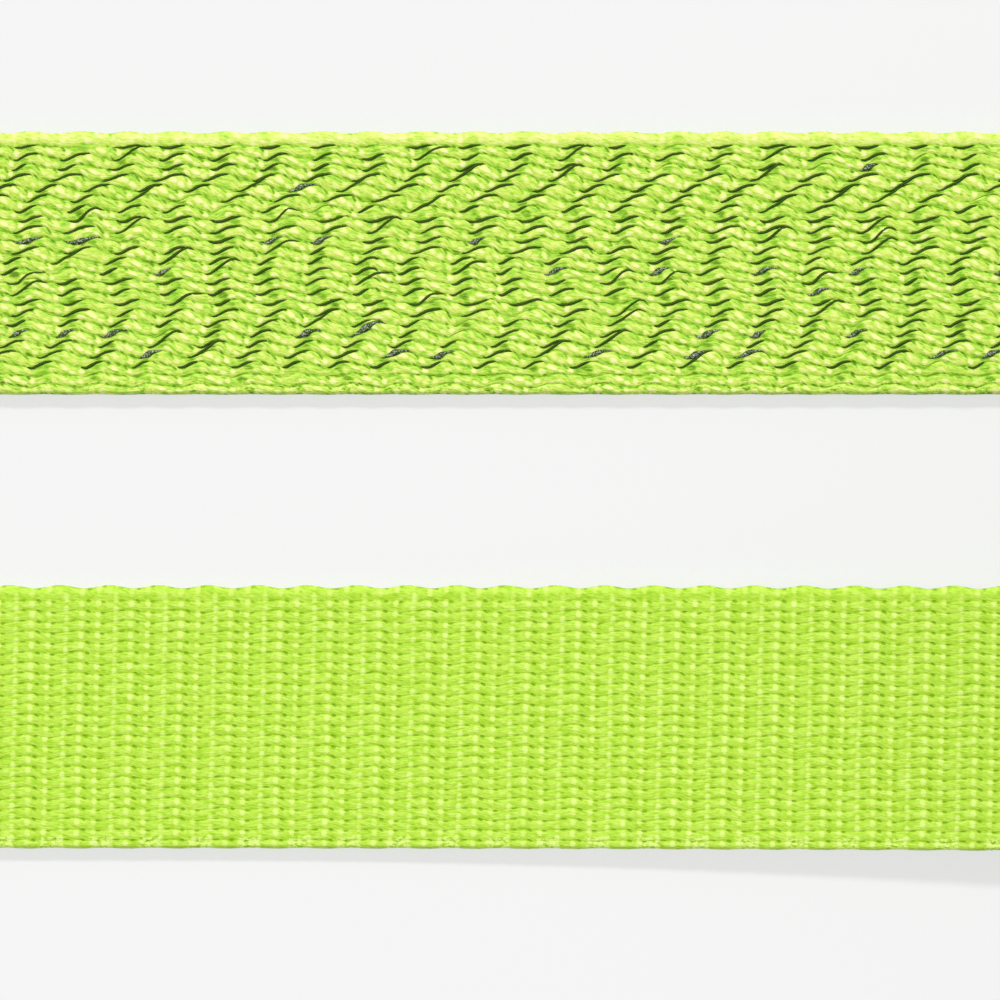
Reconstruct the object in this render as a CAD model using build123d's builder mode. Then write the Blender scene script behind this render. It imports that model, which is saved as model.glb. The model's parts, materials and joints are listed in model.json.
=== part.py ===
"""Ratchet tie-down for one-inch webbing, laid out on a flat surface.

Two lanes of webbing run side by side along X.  The lower lane (-Y) is the short fixed strap: an S-hook at
its left end, the ratchet at its right end.  The upper lane (+Y) is the long strap: an S-hook at its left
end, the rest wound into a roll at its right end.  Millimetres and degrees, +Z up, Z = 0 is the surface that
everything lies on, and the origin is the middle of the whole layout.
"""
from build123d import *
from math import asin, cos, degrees, pi, radians, sin, sqrt, tan
import os

os.makedirs("parts", exist_ok=True)

# ------------------------------------------------------------------------------------- driving sizes
# Webbing
webbing_width = 25.4
webbing_thickness = 1.8
lane_gap = 18.35  # clear floor between the two straps
open_length = 108.0  # single layer of the fixed strap between its two sewn ends
sewn_length = 35.0  # doubled and stitched webbing beside each eye
eye_taper = 13.0  # from the end of the sewn part to the middle of the eye
eye_clearance = 0.3  # webbing to whatever it loops round
strap_stagger = 6.0  # the long strap's hook lies this much further left
lift_angle = 6.0  # slope of the fixed strap where it reaches the ratchet

# Roll of spare webbing
rolled_length = 2450.0
roll_hub_radius = 12.0
roll_layer_pitch = 1.9  # one turn of webbing and the air that stays under it
roll_distance = 123.0  # from the middle of the open webbing to the roll's axis
roll_tip_thickness = 0.45  # the strap's wedge ends here, under the roll

# Roll tie
tie_width = 12.0
tie_thickness = 1.2
tie_clearance = 0.25

# Stitching
stitch_rows = 4
stitch_pitch = 5.0
stitch_width = 0.7
stitch_height = 0.35
stitch_margin = 3.0

# S-hooks
hook_wire_radius = 3.0
coating_thickness = 1.2
hook_eye_side_clearance = 1.0
hook_eye_depth = 13.0  # between the two cross legs of the closed eye
hook_corner_inside = 2.0  # inner radius of the eye's and the shank's bends
hook_bow_inside = 8.8  # inner radius of the bow, over the coating
hook_leg_length = 4.0  # side leg beyond the eye, before the shank slants in
hook_shank_length = 11.0  # along X
hook_lead_length = 14.0  # straight part before the bow's half circle
hook_tip_length = 8.0
hook_butt_gap = 0.1  # the wire's cut end against its own side leg
coating_inset = 0.5  # bare straight wire between the shank's bend and the coating

# Spool: two half-round bars with the webbing slot between them
spool_radius = 8.0
spool_slot_clearance = 1.0  # slot beyond the webbing's thickness
spool_overhang = 3.6  # bars beyond the washers
bar_fit = 0.03  # bars in the wheels that they turn
running_fit = 0.06  # bars in the frame and handle plates

# Ratchet wheels
tooth_count = 12
tooth_height = 4.8
wheel_wall = 5.2  # spool to the root of the teeth
wheel_floor_gap = 2.0
tooth_hollow = 0.25  # share of the tooth's height that its back has reached half-way along
tooth_land = 2.5  # degrees of full radius at the tip
wheel_thickness = 3.0
face_clearance = 0.3  # beside each plate or wheel that turns

# Edges of pressed and turned steel
chamfer_size = 0.3
plate_edge = 0.35

# Base frame
plate_thickness = 2.0
frame_side_clearance = 1.3  # webbing to frame plate
frame_ring_wall = 5.0
bolt_space = 20.0  # reach of the lock spring's tab to the strap bolt, along X
bolt_floor_gap = 0.4  # webbing round the spacer above the base
bolt_end_reach = 8.0
frame_top_drop = 1.0  # top edge of the side plates below the spool axis
frame_end_flat = 6.0  # upright part of the side plates' back edge
frame_throat_angle = 240.0  # where the sloping front edge meets the ring round the spool
base_front_inset = 2.0  # the base stops this far behind the plates' front corner
base_front_space = 4.0  # wheel teeth to the plates' front corner, along X
frame_corner_radius = 3.5

# Strap bolt, nut and spacer
bolt_radius = 3.0
bolt_head_flats = 10.0
bolt_head_height = 4.0
nut_height = 5.0
bolt_end_stub = 1.5
bolt_hole_clearance = 0.05
spacer_radius = 5.0
spacer_bore_radius = 3.1
spacer_end_clearance = 0.1

# Pawls
lock_angle = 201.0  # direction of the lock pawl from the spool axis
pawl_thickness = 2.0
pawl_root_gap = 1.9  # root of the teeth to the corner that meets the tooth face
pawl_slant = 2.0  # the corner that slips over the tooth backs lies this much further out
pawl_length = 14.9
pawl_tooth_gap = 0.3
pawl_slot_clearance = 0.15
pawl_travel = 4.0
pawl_end_gap = 0.5
pawl_mouth_gap = 1.0  # middle of the pawl beyond the teeth, clear of webbing wound on the spool
pawl_mouth_margin = 0.8  # side arms reach this far inside the frame plates
pawl_end_inset = 0.2  # lock pawl's ends within the wheels' outer faces
pawl_ring_gap = 0.3  # slot for a pawl to the ring round the spool
pawl_nub_width = 2.6
pawl_nub_length = 2.8
pawl_ear_reach = 1.9  # drive pawl beyond the handle plates
drive_leg_inner = 8.0
drive_leg_outer = 14.0
finger_gap = 8.0  # behind the spring's tab
finger_lip_height = 8.0
finger_lip_thickness = 2.5
finger_lip_corner = 3.0

# Pawl springs and the tabs that they push on
spring_length = 10.0
spring_tab_thickness = 2.0
spring_radius = 2.75
spring_wire_radius = 0.45
spring_turns = 4.5
lock_tab_half_width = 7.0
lock_tab_rise = 5.0

# Handle
handle_hub_wall = 6.5
handle_shoulder = 36.0
handle_shoulder_half = 9.5
handle_half_height = 8.0
handle_web_gap = 3.5  # drive pawl, pulled right back, to the handle's cross plate
handle_length = 92.0  # spool axis to the end of the steel
handle_tab_low = -5.0
handle_tab_high = 7.0

# Grip
grip_inset = 4.0  # bare cross plate before the grip
grip_side = 2.5
grip_top = 3.0
grip_lip = 1.5
grip_end = 5.0
grip_edge_radius = 2.4
grip_rib_margin = 4.0
grip_rib_pitch = 4.6
grip_rib_width = 1.6
grip_rib_depth = 0.8

# Washers and split pins
washer_wall = 3.5
washer_thickness = 1.0
pin_radius = 1.1
pin_hole_clearance = 0.05
pin_washer_gap = 0.2
pin_tail = 2.6
pin_head_radius = 2.3
pin_head_wire = 0.9

# Tools of the modelling itself
cut_overrun = 1.0  # a cut runs this far past what it goes through

# ------------------------------------------------------------------------------------ derived places
half_web = webbing_width / 2
spool_slot = webbing_thickness + spool_slot_clearance
frame_ring_radius = spool_radius + frame_ring_wall
handle_hub_radius = spool_radius + handle_hub_wall
washer_radius = spool_radius + washer_wall
tooth_root_radius = spool_radius + wheel_wall
tooth_tip_radius = tooth_root_radius + tooth_height
spool_height = tooth_tip_radius + wheel_floor_gap  # axis above the surface
pawl_tip_radius = tooth_root_radius + pawl_root_gap
pawl_heel_radius = pawl_tip_radius + pawl_slant
pawl_mouth_radius = tooth_tip_radius + pawl_mouth_gap
pawl_body_end = pawl_tip_radius + pawl_length
spring_tab_distance = pawl_body_end + spring_length
spring_tab_end = spring_tab_distance + spring_tab_thickness
drive_leg_end = spring_tab_end + finger_gap
handle_web_start = drive_leg_end + finger_lip_thickness + pawl_travel + handle_web_gap
grip_start = handle_web_start + grip_inset
base_front_gap = tooth_tip_radius + base_front_space
bolt_back = spring_tab_end + bolt_space  # spool axis to strap bolt, along X
hook_shank_start = hook_eye_depth + hook_leg_length
hook_bow_start = hook_shank_start + hook_shank_length
hook_bow_centre = hook_bow_start + hook_lead_length

frame_inner = half_web + frame_side_clearance
frame_outer = frame_inner + plate_thickness
wheel_inner = frame_outer + face_clearance
wheel_outer = wheel_inner + wheel_thickness
handle_inner = wheel_outer + face_clearance
handle_outer = handle_inner + plate_thickness
washer_inner = handle_outer + face_clearance
washer_outer = washer_inner + washer_thickness
pin_place = washer_outer + pin_radius + pin_washer_gap
spool_half_length = washer_outer + spool_overhang

coating_radius = hook_wire_radius + coating_thickness
hook_corner_radius = hook_wire_radius + hook_corner_inside
hook_bow_radius = coating_radius + hook_bow_inside
coating_start = hook_bow_start + hook_corner_radius / 2 + coating_inset
hook_eye_half = half_web + hook_eye_side_clearance + hook_wire_radius
hook_eye_inner = hook_wire_radius + eye_clearance
hook_z = hook_eye_inner + webbing_thickness
bolt_eye_inner = spacer_radius + eye_clearance
bolt_height = plate_thickness + bolt_floor_gap + bolt_eye_inner + webbing_thickness

eye_distance = open_length / 2 + sewn_length + eye_taper  # middle of the webbing to the middle of either eye
reach_left = strap_stagger + eye_distance + hook_bow_centre + hook_bow_radius + coating_radius
reach_right = eye_distance + bolt_back + tooth_tip_radius
reach_up = webbing_width / 2 + lane_gap / 2 + hook_eye_half + hook_wire_radius
reach_down = webbing_width / 2 + lane_gap / 2 + spool_half_length
middle_x = (reach_left - reach_right) / 2  # middle of the open stretch of webbing
middle_y = (reach_down - reach_up) / 2  # half-way between the two lanes

long_lane = middle_y + (webbing_width + lane_gap) / 2
fixed_lane = middle_y - (webbing_width + lane_gap) / 2
bolt_x = middle_x + eye_distance
spool_x = bolt_x + bolt_back
spool_axis = (spool_x, fixed_lane, spool_height)
handle_angle = lock_angle - 360.0 / tooth_count  # both pawls meet the same phase of the wheel

roll_radius = sqrt(rolled_length * roll_layer_pitch / pi + roll_hub_radius**2)
roll_x = middle_x + roll_distance
fixed_hook_x = middle_x - eye_distance
strap_hook_x = fixed_hook_x - strap_stagger


def side_plane(y):
    """Upright plane across the webbing at y: sketch x is +X and sketch y is +Z."""
    return Plane(origin=(0, y, 0), x_dir=(1, 0, 0), z_dir=(0, -1, 0))


def spool_side_plane(y=0.0):
    """Upright plane through the spool axis, y from the ratchet's middle; its origin is on the axis."""
    return Plane(origin=(spool_x, fixed_lane + y, spool_height), x_dir=(1, 0, 0), z_dir=(0, -1, 0))


def arm_side_plane(angle, y=0.0):
    """Upright plane whose sketch x runs out from the spool axis at angle and sketch y is its upper side."""
    outward = (cos(radians(angle)), 0, sin(radians(angle)))
    return Plane(origin=(spool_x, fixed_lane + y, spool_height), x_dir=outward, z_dir=(0, 1, 0))


def arm_plan_plane(angle):
    """Plane that holds the spool axis and the outward direction at angle, seen from its upper side."""
    outward = (cos(radians(angle)), 0, sin(radians(angle)))
    upper = (sin(radians(angle)), 0, -cos(radians(angle)))
    return Plane(origin=spool_axis, x_dir=outward, z_dir=upper)


def arm_cross_plane(angle, distance):
    """Plane across the outward direction at angle, at that distance; sketch y is its upper side."""
    along = arm_plan_plane(angle)
    return Plane(origin=along.origin + along.x_dir * distance, x_dir=-along.y_dir, z_dir=along.x_dir)


def box_on(low, high, mode=Mode.ADD):
    """Rectangle between two corners, for the sketch that is open."""
    with Locations(((low[0] + high[0]) / 2, (low[1] + high[1]) / 2)):
        Rectangle(high[0] - low[0], high[1] - low[1], mode=mode)


# -------------------------------------------------------------------------------------------- straps
def strap_eye(lane, centre, inner_radius, low, high):
    """Fold the webbing round a bar: a teardrop from the sewn part's two corners, open round the bar."""
    apex_x = (low[0] + high[0]) / 2
    apex_z = (low[1] + high[1]) / 2
    with BuildSketch(side_plane(lane)) as fold:
        with BuildLine():
            Line(low, high)
        with Locations(centre):
            Circle(inner_radius + webbing_thickness)
        make_hull()
    extrude(fold.sketch, amount=half_web, both=True)
    with BuildSketch(side_plane(lane)) as hollow:
        with BuildLine():
            Line((apex_x, apex_z - 0.05), (apex_x, apex_z + 0.05))
        with Locations(centre):
            Circle(inner_radius)
        make_hull()
    extrude(hollow.sketch, amount=half_web, both=True, mode=Mode.SUBTRACT)


def hook_end(lane, bar_x):
    """The sewn end that holds an S-hook: doubled webbing on the floor and the eye round the hook's bar."""
    sewn_start = bar_x + eye_taper
    with BuildSketch(side_plane(lane)) as doubled:
        box_on((sewn_start, 0), (sewn_start + sewn_length, 2 * webbing_thickness))
    extrude(doubled.sketch, amount=half_web, both=True)
    low = (sewn_start, 0)
    high = (sewn_start, 2 * webbing_thickness)
    strap_eye(lane, (bar_x, hook_z), hook_eye_inner, low, high)


# The fixed strap leaves the floor on one long arc and meets the bolt's eye at the lift angle.
lift_cos = cos(radians(lift_angle))
lift_sin = sin(radians(lift_angle))
lift_radius = (bolt_height - webbing_thickness / 2 * (1 + lift_cos) - eye_taper * lift_sin) / (1 - lift_cos)
lift_mid_radius = lift_radius - webbing_thickness / 2
lift_x = bolt_x - lift_mid_radius * lift_sin - eye_taper * lift_cos
lift_centre = (lift_x, webbing_thickness / 2 + lift_radius)
sewn_angle = degrees(sewn_length / lift_mid_radius)


def on_lift(radius, angle):
    """Point of the lifting arc at that radius from its centre, angle counted from the floor."""
    x = lift_centre[0] + radius * sin(radians(angle))
    z = lift_centre[1] - radius * cos(radians(angle))
    return (x, z)


with BuildPart() as fixed_strap_hook_end:
    hook_end(fixed_lane, fixed_hook_x)
fixed_strap_hook_end.part.label = "fixed_strap_hook_end"
export_step(fixed_strap_hook_end.part, "parts/fixed_strap_hook_end.step")

with BuildPart() as fixed_strap:
    with BuildSketch(side_plane(fixed_lane)):
        box_on((fixed_hook_x + eye_taper + sewn_length, 0), (lift_x, webbing_thickness))
    extrude(amount=half_web, both=True)
    with BuildSketch(side_plane(fixed_lane)):
        with BuildLine():
            CenterArc(lift_centre, lift_radius, -90, lift_angle - sewn_angle)
        trace(line_width=webbing_thickness)
    extrude(amount=half_web, both=True)
fixed_strap.part.label = "fixed_strap"
export_step(fixed_strap.part, "parts/fixed_strap.step")

with BuildPart() as fixed_strap_ratchet_end:
    for layer_radius in (lift_radius, lift_radius - webbing_thickness):
        with BuildSketch(side_plane(fixed_lane)):
            with BuildLine():
                CenterArc(lift_centre, layer_radius, -90 + lift_angle - sewn_angle, sewn_angle)
            trace(line_width=webbing_thickness)
        extrude(amount=half_web, both=True)
    strap_eye(
        fixed_lane,
        (bolt_x, bolt_height),
        bolt_eye_inner,
        on_lift(lift_radius + webbing_thickness / 2, lift_angle),
        on_lift(lift_radius - 1.5 * webbing_thickness, lift_angle),
    )
fixed_strap_ratchet_end.part.label = "fixed_strap_ratchet_end"
export_step(fixed_strap_ratchet_end.part, "parts/fixed_strap_ratchet_end.step")

with BuildPart() as long_strap_hook_end:
    hook_end(long_lane, strap_hook_x)
long_strap_hook_end.part.label = "long_strap_hook_end"
export_step(long_strap_hook_end.part, "parts/long_strap_hook_end.step")

with BuildPart() as long_strap:
    wedge_end = roll_x - sqrt(2 * roll_radius * roll_tip_thickness)
    with BuildSketch(side_plane(long_lane)):
        box_on((strap_hook_x + eye_taper + sewn_length, 0), (wedge_end, webbing_thickness))
    extrude(amount=half_web, both=True)
    with BuildSketch(side_plane(long_lane)):
        with Locations((roll_x, roll_radius)):
            Circle(roll_radius)
    extrude(amount=half_web, both=True, mode=Mode.SUBTRACT)
long_strap.part.label = "long_strap"
export_step(long_strap.part, "parts/long_strap.step")

with BuildPart() as long_strap_roll:
    with BuildSketch(side_plane(long_lane)):
        with Locations((roll_x, roll_radius)):
            Circle(roll_radius)
            Circle(roll_hub_radius, mode=Mode.SUBTRACT)
    extrude(amount=half_web, both=True)
long_strap_roll.part.label = "long_strap_roll"
export_step(long_strap_roll.part, "parts/long_strap_roll.step")


def ring_sector(inner, outer):
    """Piece of a ring about the roll's axis, as wide as the tie, at the top of the roll."""
    with BuildSketch(side_plane(long_lane)) as sector:
        with Locations((roll_x, roll_radius)):
            Circle(outer)
            Circle(inner, mode=Mode.SUBTRACT)
        with Locations((roll_x, roll_radius + outer)):
            Rectangle(tie_width, 2 * outer, mode=Mode.INTERSECT)
    return sector.sketch


tie_inner = roll_hub_radius - tie_clearance
tie_outer = roll_radius + tie_clearance
tie_half = half_web + tie_clearance

with BuildPart() as roll_tie:
    outer_sector = ring_sector(tie_inner - tie_thickness, tie_outer + tie_thickness)
    extrude(outer_sector, amount=tie_half + tie_thickness, both=True)
    extrude(ring_sector(tie_inner, tie_outer), amount=tie_half, both=True, mode=Mode.SUBTRACT)
roll_tie.part.label = "roll_tie"
export_step(roll_tie.part, "parts/roll_tie.step")


# ----------------------------------------------------------------------------------------- stitching
def stitch_block(plane):
    """Rows of zigzag thread on the top face of a sewn part; the plane's x runs along the webbing."""
    row_step = (webbing_width - 2 * stitch_margin) / stitch_rows
    steps = int((sewn_length - 2 * stitch_margin) / (stitch_pitch / 2))
    start = -steps * stitch_pitch / 4
    for row in range(stitch_rows):
        middle = (row - (stitch_rows - 1) / 2) * row_step
        swing = row_step / 2 - stitch_width
        corners = []
        for step in range(steps + 1):
            side = -1 if step % 2 else 1
            corners.append((start + step * stitch_pitch / 2, middle + swing * side))
        with BuildSketch(plane) as thread:
            with BuildLine():
                Polyline(*corners)
            trace(line_width=stitch_width)
        extrude(thread.sketch, amount=stitch_height)


def hook_stitch_plane(lane, bar_x):
    """Top of the sewn part beside an S-hook."""
    return Plane(origin=(bar_x + eye_taper + sewn_length / 2, lane, 2 * webbing_thickness))


sewn_far = on_lift(lift_radius - 1.5 * webbing_thickness, lift_angle)
sewn_near = on_lift(lift_radius - 1.5 * webbing_thickness, lift_angle - sewn_angle)
bolt_stitch_plane = Plane(
    origin=((sewn_far[0] + sewn_near[0]) / 2, fixed_lane, (sewn_far[1] + sewn_near[1]) / 2),
    x_dir=(sewn_far[0] - sewn_near[0], 0, sewn_far[1] - sewn_near[1]),
    z_dir=(sewn_near[1] - sewn_far[1], 0, sewn_far[0] - sewn_near[0]),
)

with BuildPart() as fixed_strap_stitching:
    stitch_block(hook_stitch_plane(fixed_lane, fixed_hook_x))
    stitch_block(bolt_stitch_plane)
fixed_strap_stitching.part.label = "fixed_strap_stitching"
export_step(fixed_strap_stitching.part, "parts/fixed_strap_stitching.step")

with BuildPart() as long_strap_stitching:
    stitch_block(hook_stitch_plane(long_lane, strap_hook_x))
long_strap_stitching.part.label = "long_strap_stitching"
export_step(long_strap_stitching.part, "parts/long_strap_stitching.step")


# ------------------------------------------------------------------------------------------- S-hooks
def hook_bow(lane, bar_x, start):
    """Line of the open bow, from start on its straight lead-in, round the bow and along to the tip."""
    centre_x = bar_x - hook_bow_centre
    near_side = lane - hook_bow_radius
    far_side = lane + hook_bow_radius
    lead = Line((bar_x - start, near_side, hook_z), (centre_x, near_side, hook_z))
    bow = ThreePointArc(lead @ 1, (centre_x - hook_bow_radius, lane, hook_z), (centre_x, far_side, hook_z))
    Line(bow @ 1, (centre_x + hook_tip_length, far_side, hook_z))


def hook_wire(lane, bar_x):
    """Bent wire: the closed eye with its bar in the webbing, the slanting shank and the open bow."""
    butt = -hook_eye_half + hook_wire_radius + hook_butt_gap
    eye = [
        (hook_eye_depth, butt),
        (hook_eye_depth, hook_eye_half),
        (0, hook_eye_half),
        (0, -hook_eye_half),
        (hook_shank_start, -hook_eye_half),
        (hook_bow_start, -hook_bow_radius),
        (hook_bow_start + hook_corner_radius / 2, -hook_bow_radius),
    ]
    corners = [(bar_x - back, lane + across, hook_z) for back, across in eye]
    with BuildLine() as wire:
        FilletPolyline(*corners, radius=hook_corner_radius)
        hook_bow(lane, bar_x, hook_bow_start + hook_corner_radius / 2)
    with BuildSketch(Plane(origin=corners[0], z_dir=(0, 1, 0))) as section:
        Circle(hook_wire_radius)
    sweep(section.sketch, path=wire.wires()[0])


def hook_coating(lane, bar_x, wire_part):
    """Dipped vinyl over the bow and its tip, hollow where the wire is."""
    with BuildLine() as bow:
        hook_bow(lane, bar_x, coating_start)
    start = Plane(origin=(bar_x - coating_start, lane - hook_bow_radius, hook_z), z_dir=(-1, 0, 0))
    with BuildSketch(start) as section:
        Circle(coating_radius)
    sweep(section.sketch, path=bow.wires()[0])
    with Locations((bar_x - hook_bow_centre + hook_tip_length, lane + hook_bow_radius, hook_z)):
        Sphere(coating_radius)
    add(wire_part, mode=Mode.SUBTRACT)


with BuildPart() as fixed_hook:
    hook_wire(fixed_lane, fixed_hook_x)
fixed_hook.part.label = "fixed_hook"
export_step(fixed_hook.part, "parts/fixed_hook.step")

with BuildPart() as fixed_hook_coating:
    hook_coating(fixed_lane, fixed_hook_x, fixed_hook.part)
fixed_hook_coating.part.label = "fixed_hook_coating"
export_step(fixed_hook_coating.part, "parts/fixed_hook_coating.step")

with BuildPart() as strap_hook:
    hook_wire(long_lane, strap_hook_x)
strap_hook.part.label = "strap_hook"
export_step(strap_hook.part, "parts/strap_hook.step")

with BuildPart() as strap_hook_coating:
    hook_coating(long_lane, strap_hook_x, strap_hook.part)
strap_hook_coating.part.label = "strap_hook_coating"
export_step(strap_hook_coating.part, "parts/strap_hook_coating.step")

# ---------------------------------------------------------------------------------------- base frame
floor_drop = -spool_height
pawl_slot_half = pawl_thickness / 2 + pawl_slot_clearance
pawl_slot_start = frame_ring_radius + pawl_ring_gap
pawl_slot_end = pawl_body_end + pawl_travel + pawl_end_gap
throat = radians(frame_throat_angle)
frame_outline = [
    (-bolt_back - bolt_end_reach + frame_corner_radius, floor_drop),
    (-base_front_gap, floor_drop),
    (frame_ring_radius * cos(throat), frame_ring_radius * sin(throat)),
    (0, 0),
    (-frame_ring_radius, -frame_top_drop),
    (-bolt_back - bolt_end_reach + frame_corner_radius, -frame_top_drop),
    (-bolt_back - bolt_end_reach, bolt_height - spool_height + frame_end_flat / 2),
    (-bolt_back - bolt_end_reach, bolt_height - spool_height - frame_end_flat / 2),
]

# The lock spring's tab leans with the pawl and stands in the middle of the base's thickness.
lock_slope = radians(lock_angle - 180)
lock_tab_foot = spring_tab_distance * tan(lock_slope) - (spool_height - plate_thickness / 2) / cos(lock_slope)
tab_nub = (
    (spring_tab_distance - pawl_nub_length, -pawl_thickness / 2),
    (spring_tab_distance, pawl_thickness / 2),
)

with BuildPart() as base_frame:
    for side in (-1, 1):
        with BuildSketch(spool_side_plane(side * (frame_inner + plate_thickness / 2))):
            with BuildLine():
                Polyline(*frame_outline, close=True)
            make_face()
            fillet(vertices().filter_by(lambda corner: corner.X < -bolt_back), radius=frame_corner_radius)
            Circle(frame_ring_radius)
            Circle(spool_radius + running_fit, mode=Mode.SUBTRACT)
            with Locations((-bolt_back, bolt_height - spool_height)):
                Circle(bolt_radius + bolt_hole_clearance, mode=Mode.SUBTRACT)
        extrude(amount=plate_thickness / 2, both=True)
    with BuildSketch(spool_side_plane()):
        box_on((-bolt_back, floor_drop), (-base_front_gap - base_front_inset, floor_drop + plate_thickness))
    extrude(amount=frame_outer, both=True)
    with BuildSketch(arm_side_plane(lock_angle)):
        box_on((spring_tab_distance, lock_tab_foot), (spring_tab_end, lock_tab_rise))
    extrude(amount=lock_tab_half_width, both=True)
    with BuildSketch(arm_side_plane(lock_angle)):
        box_on(*tab_nub)
    extrude(amount=pawl_nub_width / 2, both=True)
    with BuildSketch(arm_side_plane(lock_angle)):
        box_on((pawl_slot_start, -pawl_slot_half), (pawl_slot_end, pawl_slot_half))
    extrude(amount=frame_outer + cut_overrun, both=True, mode=Mode.SUBTRACT)
    base_faces = base_frame.faces().sort_by(Axis.Y)
    for outer_face in (base_faces[0], base_faces[-1]):
        chamfer(outer_face.outer_wire().edges(), length=plate_edge)
base_frame.part.label = "base_frame"
export_step(base_frame.part, "parts/base_frame.step")


# ------------------------------------------------------------------------- strap bolt, spacer, nut
def bolt_plane(y):
    """Plane across the bolt's axis at y from the ratchet's middle, facing +Y."""
    return Plane(origin=(bolt_x, fixed_lane + y, bolt_height), x_dir=(1, 0, 0), z_dir=(0, 1, 0))


with BuildPart() as strap_bolt:
    with BuildSketch(bolt_plane(-frame_outer - bolt_head_height)):
        RegularPolygon(bolt_head_flats / 2, 6, major_radius=False)
    extrude(amount=bolt_head_height)
    chamfer(faces().sort_by(Axis.Y)[0].edges(), length=chamfer_size * 2)
    with BuildSketch(bolt_plane(-frame_outer)):
        Circle(bolt_radius)
    extrude(amount=2 * frame_outer + nut_height + bolt_end_stub)
    chamfer(faces().sort_by(Axis.Y)[-1].edges(), length=chamfer_size * 2)
strap_bolt.part.label = "strap_bolt"
export_step(strap_bolt.part, "parts/strap_bolt.step")

with BuildPart() as bolt_nut:
    with BuildSketch(bolt_plane(frame_outer)):
        RegularPolygon(bolt_head_flats / 2, 6, major_radius=False)
        Circle(bolt_radius + bolt_hole_clearance, mode=Mode.SUBTRACT)
    extrude(amount=nut_height)
    chamfer(faces().sort_by(Axis.Y)[-1].outer_wire().edges(), length=chamfer_size * 2)
bolt_nut.part.label = "bolt_nut"
export_step(bolt_nut.part, "parts/bolt_nut.step")

with BuildPart() as bolt_spacer:
    with BuildSketch(bolt_plane(0)):
        Circle(spacer_radius)
        Circle(spacer_bore_radius, mode=Mode.SUBTRACT)
    extrude(amount=frame_inner - spacer_end_clearance, both=True)
bolt_spacer.part.label = "bolt_spacer"
export_step(bolt_spacer.part, "parts/bolt_spacer.step")

# --------------------------------------------------------------------------------------------- spool
for name, half in (("spool_half_upper", 1), ("spool_half_lower", -1)):
    with BuildPart() as spool_half:
        with BuildSketch(spool_side_plane()):
            Circle(spool_radius)
            with Locations((0, half * (spool_slot / 2 + spool_radius))):
                Rectangle(3 * spool_radius, 2 * spool_radius, mode=Mode.INTERSECT)
        extrude(amount=spool_half_length, both=True)
        chamfer(spool_half.edges().filter_by(Axis.Y, reverse=True), length=chamfer_size)
        with Locations(*[(spool_x, fixed_lane + side * pin_place, spool_height) for side in (-1, 1)]):
            Cylinder(pin_radius + pin_hole_clearance, 3 * spool_radius, mode=Mode.SUBTRACT)
    spool_half.part.label = name
    export_step(spool_half.part, f"parts/{name}.step")

# The tooth face stands just clear of the pawl's upper side; the pawl lies on the anticlockwise side of it.
face_angle = lock_angle - degrees(asin((pawl_thickness / 2 + pawl_tooth_gap) / pawl_tip_radius))
tooth_pitch = 360.0 / tooth_count
hollow_radius = tooth_root_radius + tooth_hollow * (tooth_tip_radius - tooth_root_radius)


def on_wheel(radius, angle):
    """Point of the wheel's outline at that radius and angle."""
    return (radius * cos(radians(angle)), radius * sin(radians(angle)))


for name, side in (("ratchet_wheel_left", -1), ("ratchet_wheel_right", 1)):
    with BuildPart() as ratchet_wheel:
        with BuildSketch(spool_side_plane(side * (wheel_inner + wheel_thickness / 2))):
            with BuildLine():
                for tooth in range(tooth_count):
                    start = face_angle + tooth * tooth_pitch
                    land_start = start + tooth_pitch - tooth_land
                    root = on_wheel(tooth_root_radius, start)
                    hollow = on_wheel(hollow_radius, (start + land_start) / 2)
                    land = on_wheel(tooth_tip_radius, land_start)
                    Line(on_wheel(tooth_tip_radius, start), root)
                    ThreePointArc(root, hollow, land)
                    Line(land, on_wheel(tooth_tip_radius, start + tooth_pitch))
            make_face()
            Circle(spool_radius + bar_fit, mode=Mode.SUBTRACT)
            Rectangle(2 * (spool_radius + cut_overrun), spool_slot - 2 * bar_fit)
        extrude(amount=wheel_thickness / 2, both=True)
    ratchet_wheel.part.label = name
    export_step(ratchet_wheel.part, f"parts/{name}.step")

with BuildPart() as spool_washers:
    for side in (-1, 1):
        with BuildSketch(spool_side_plane(side * (washer_inner + washer_thickness / 2))):
            Circle(washer_radius)
            Circle(spool_radius + running_fit, mode=Mode.SUBTRACT)
        extrude(amount=washer_thickness / 2, both=True)
    washer_faces = spool_washers.faces().sort_by(Axis.Y)
    for outer_face in (washer_faces[0], washer_faces[-1]):
        chamfer(outer_face.outer_wire().edges(), length=chamfer_size)
spool_washers.part.label = "spool_washers"
export_step(spool_washers.part, "parts/spool_washers.step")

with BuildPart() as cotter_pins:
    for side in (-1, 1):
        pin_y = fixed_lane + side * pin_place
        with BuildSketch(Plane.XY.offset(spool_height - spool_radius - pin_tail)):
            with Locations((spool_x, pin_y)):
                Circle(pin_radius)
        extrude(amount=2 * spool_radius + pin_tail + pin_head_wire)
        head = spool_height + spool_radius + pin_head_wire + pin_head_radius
        with Locations(Plane(origin=(spool_x, pin_y, head), z_dir=(0, 1, 0))):
            Torus(pin_head_radius, pin_head_wire)
cotter_pins.part.label = "cotter_pins"
export_step(cotter_pins.part, "parts/cotter_pins.step")


# --------------------------------------------------------------------------------------------- pawls
def pawl_bar(angle, end, half_width):
    """Flat bar that slides along angle: its end is slanted, so that it drops in and slips over."""
    with BuildSketch(arm_side_plane(angle)) as bar:
        with BuildLine():
            Polyline(
                (pawl_tip_radius, pawl_thickness / 2),
                (pawl_heel_radius, -pawl_thickness / 2),
                (end, -pawl_thickness / 2),
                (end, pawl_thickness / 2),
                close=True,
            )
        make_face()
    extrude(bar.sketch, amount=half_width, both=True)


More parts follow.
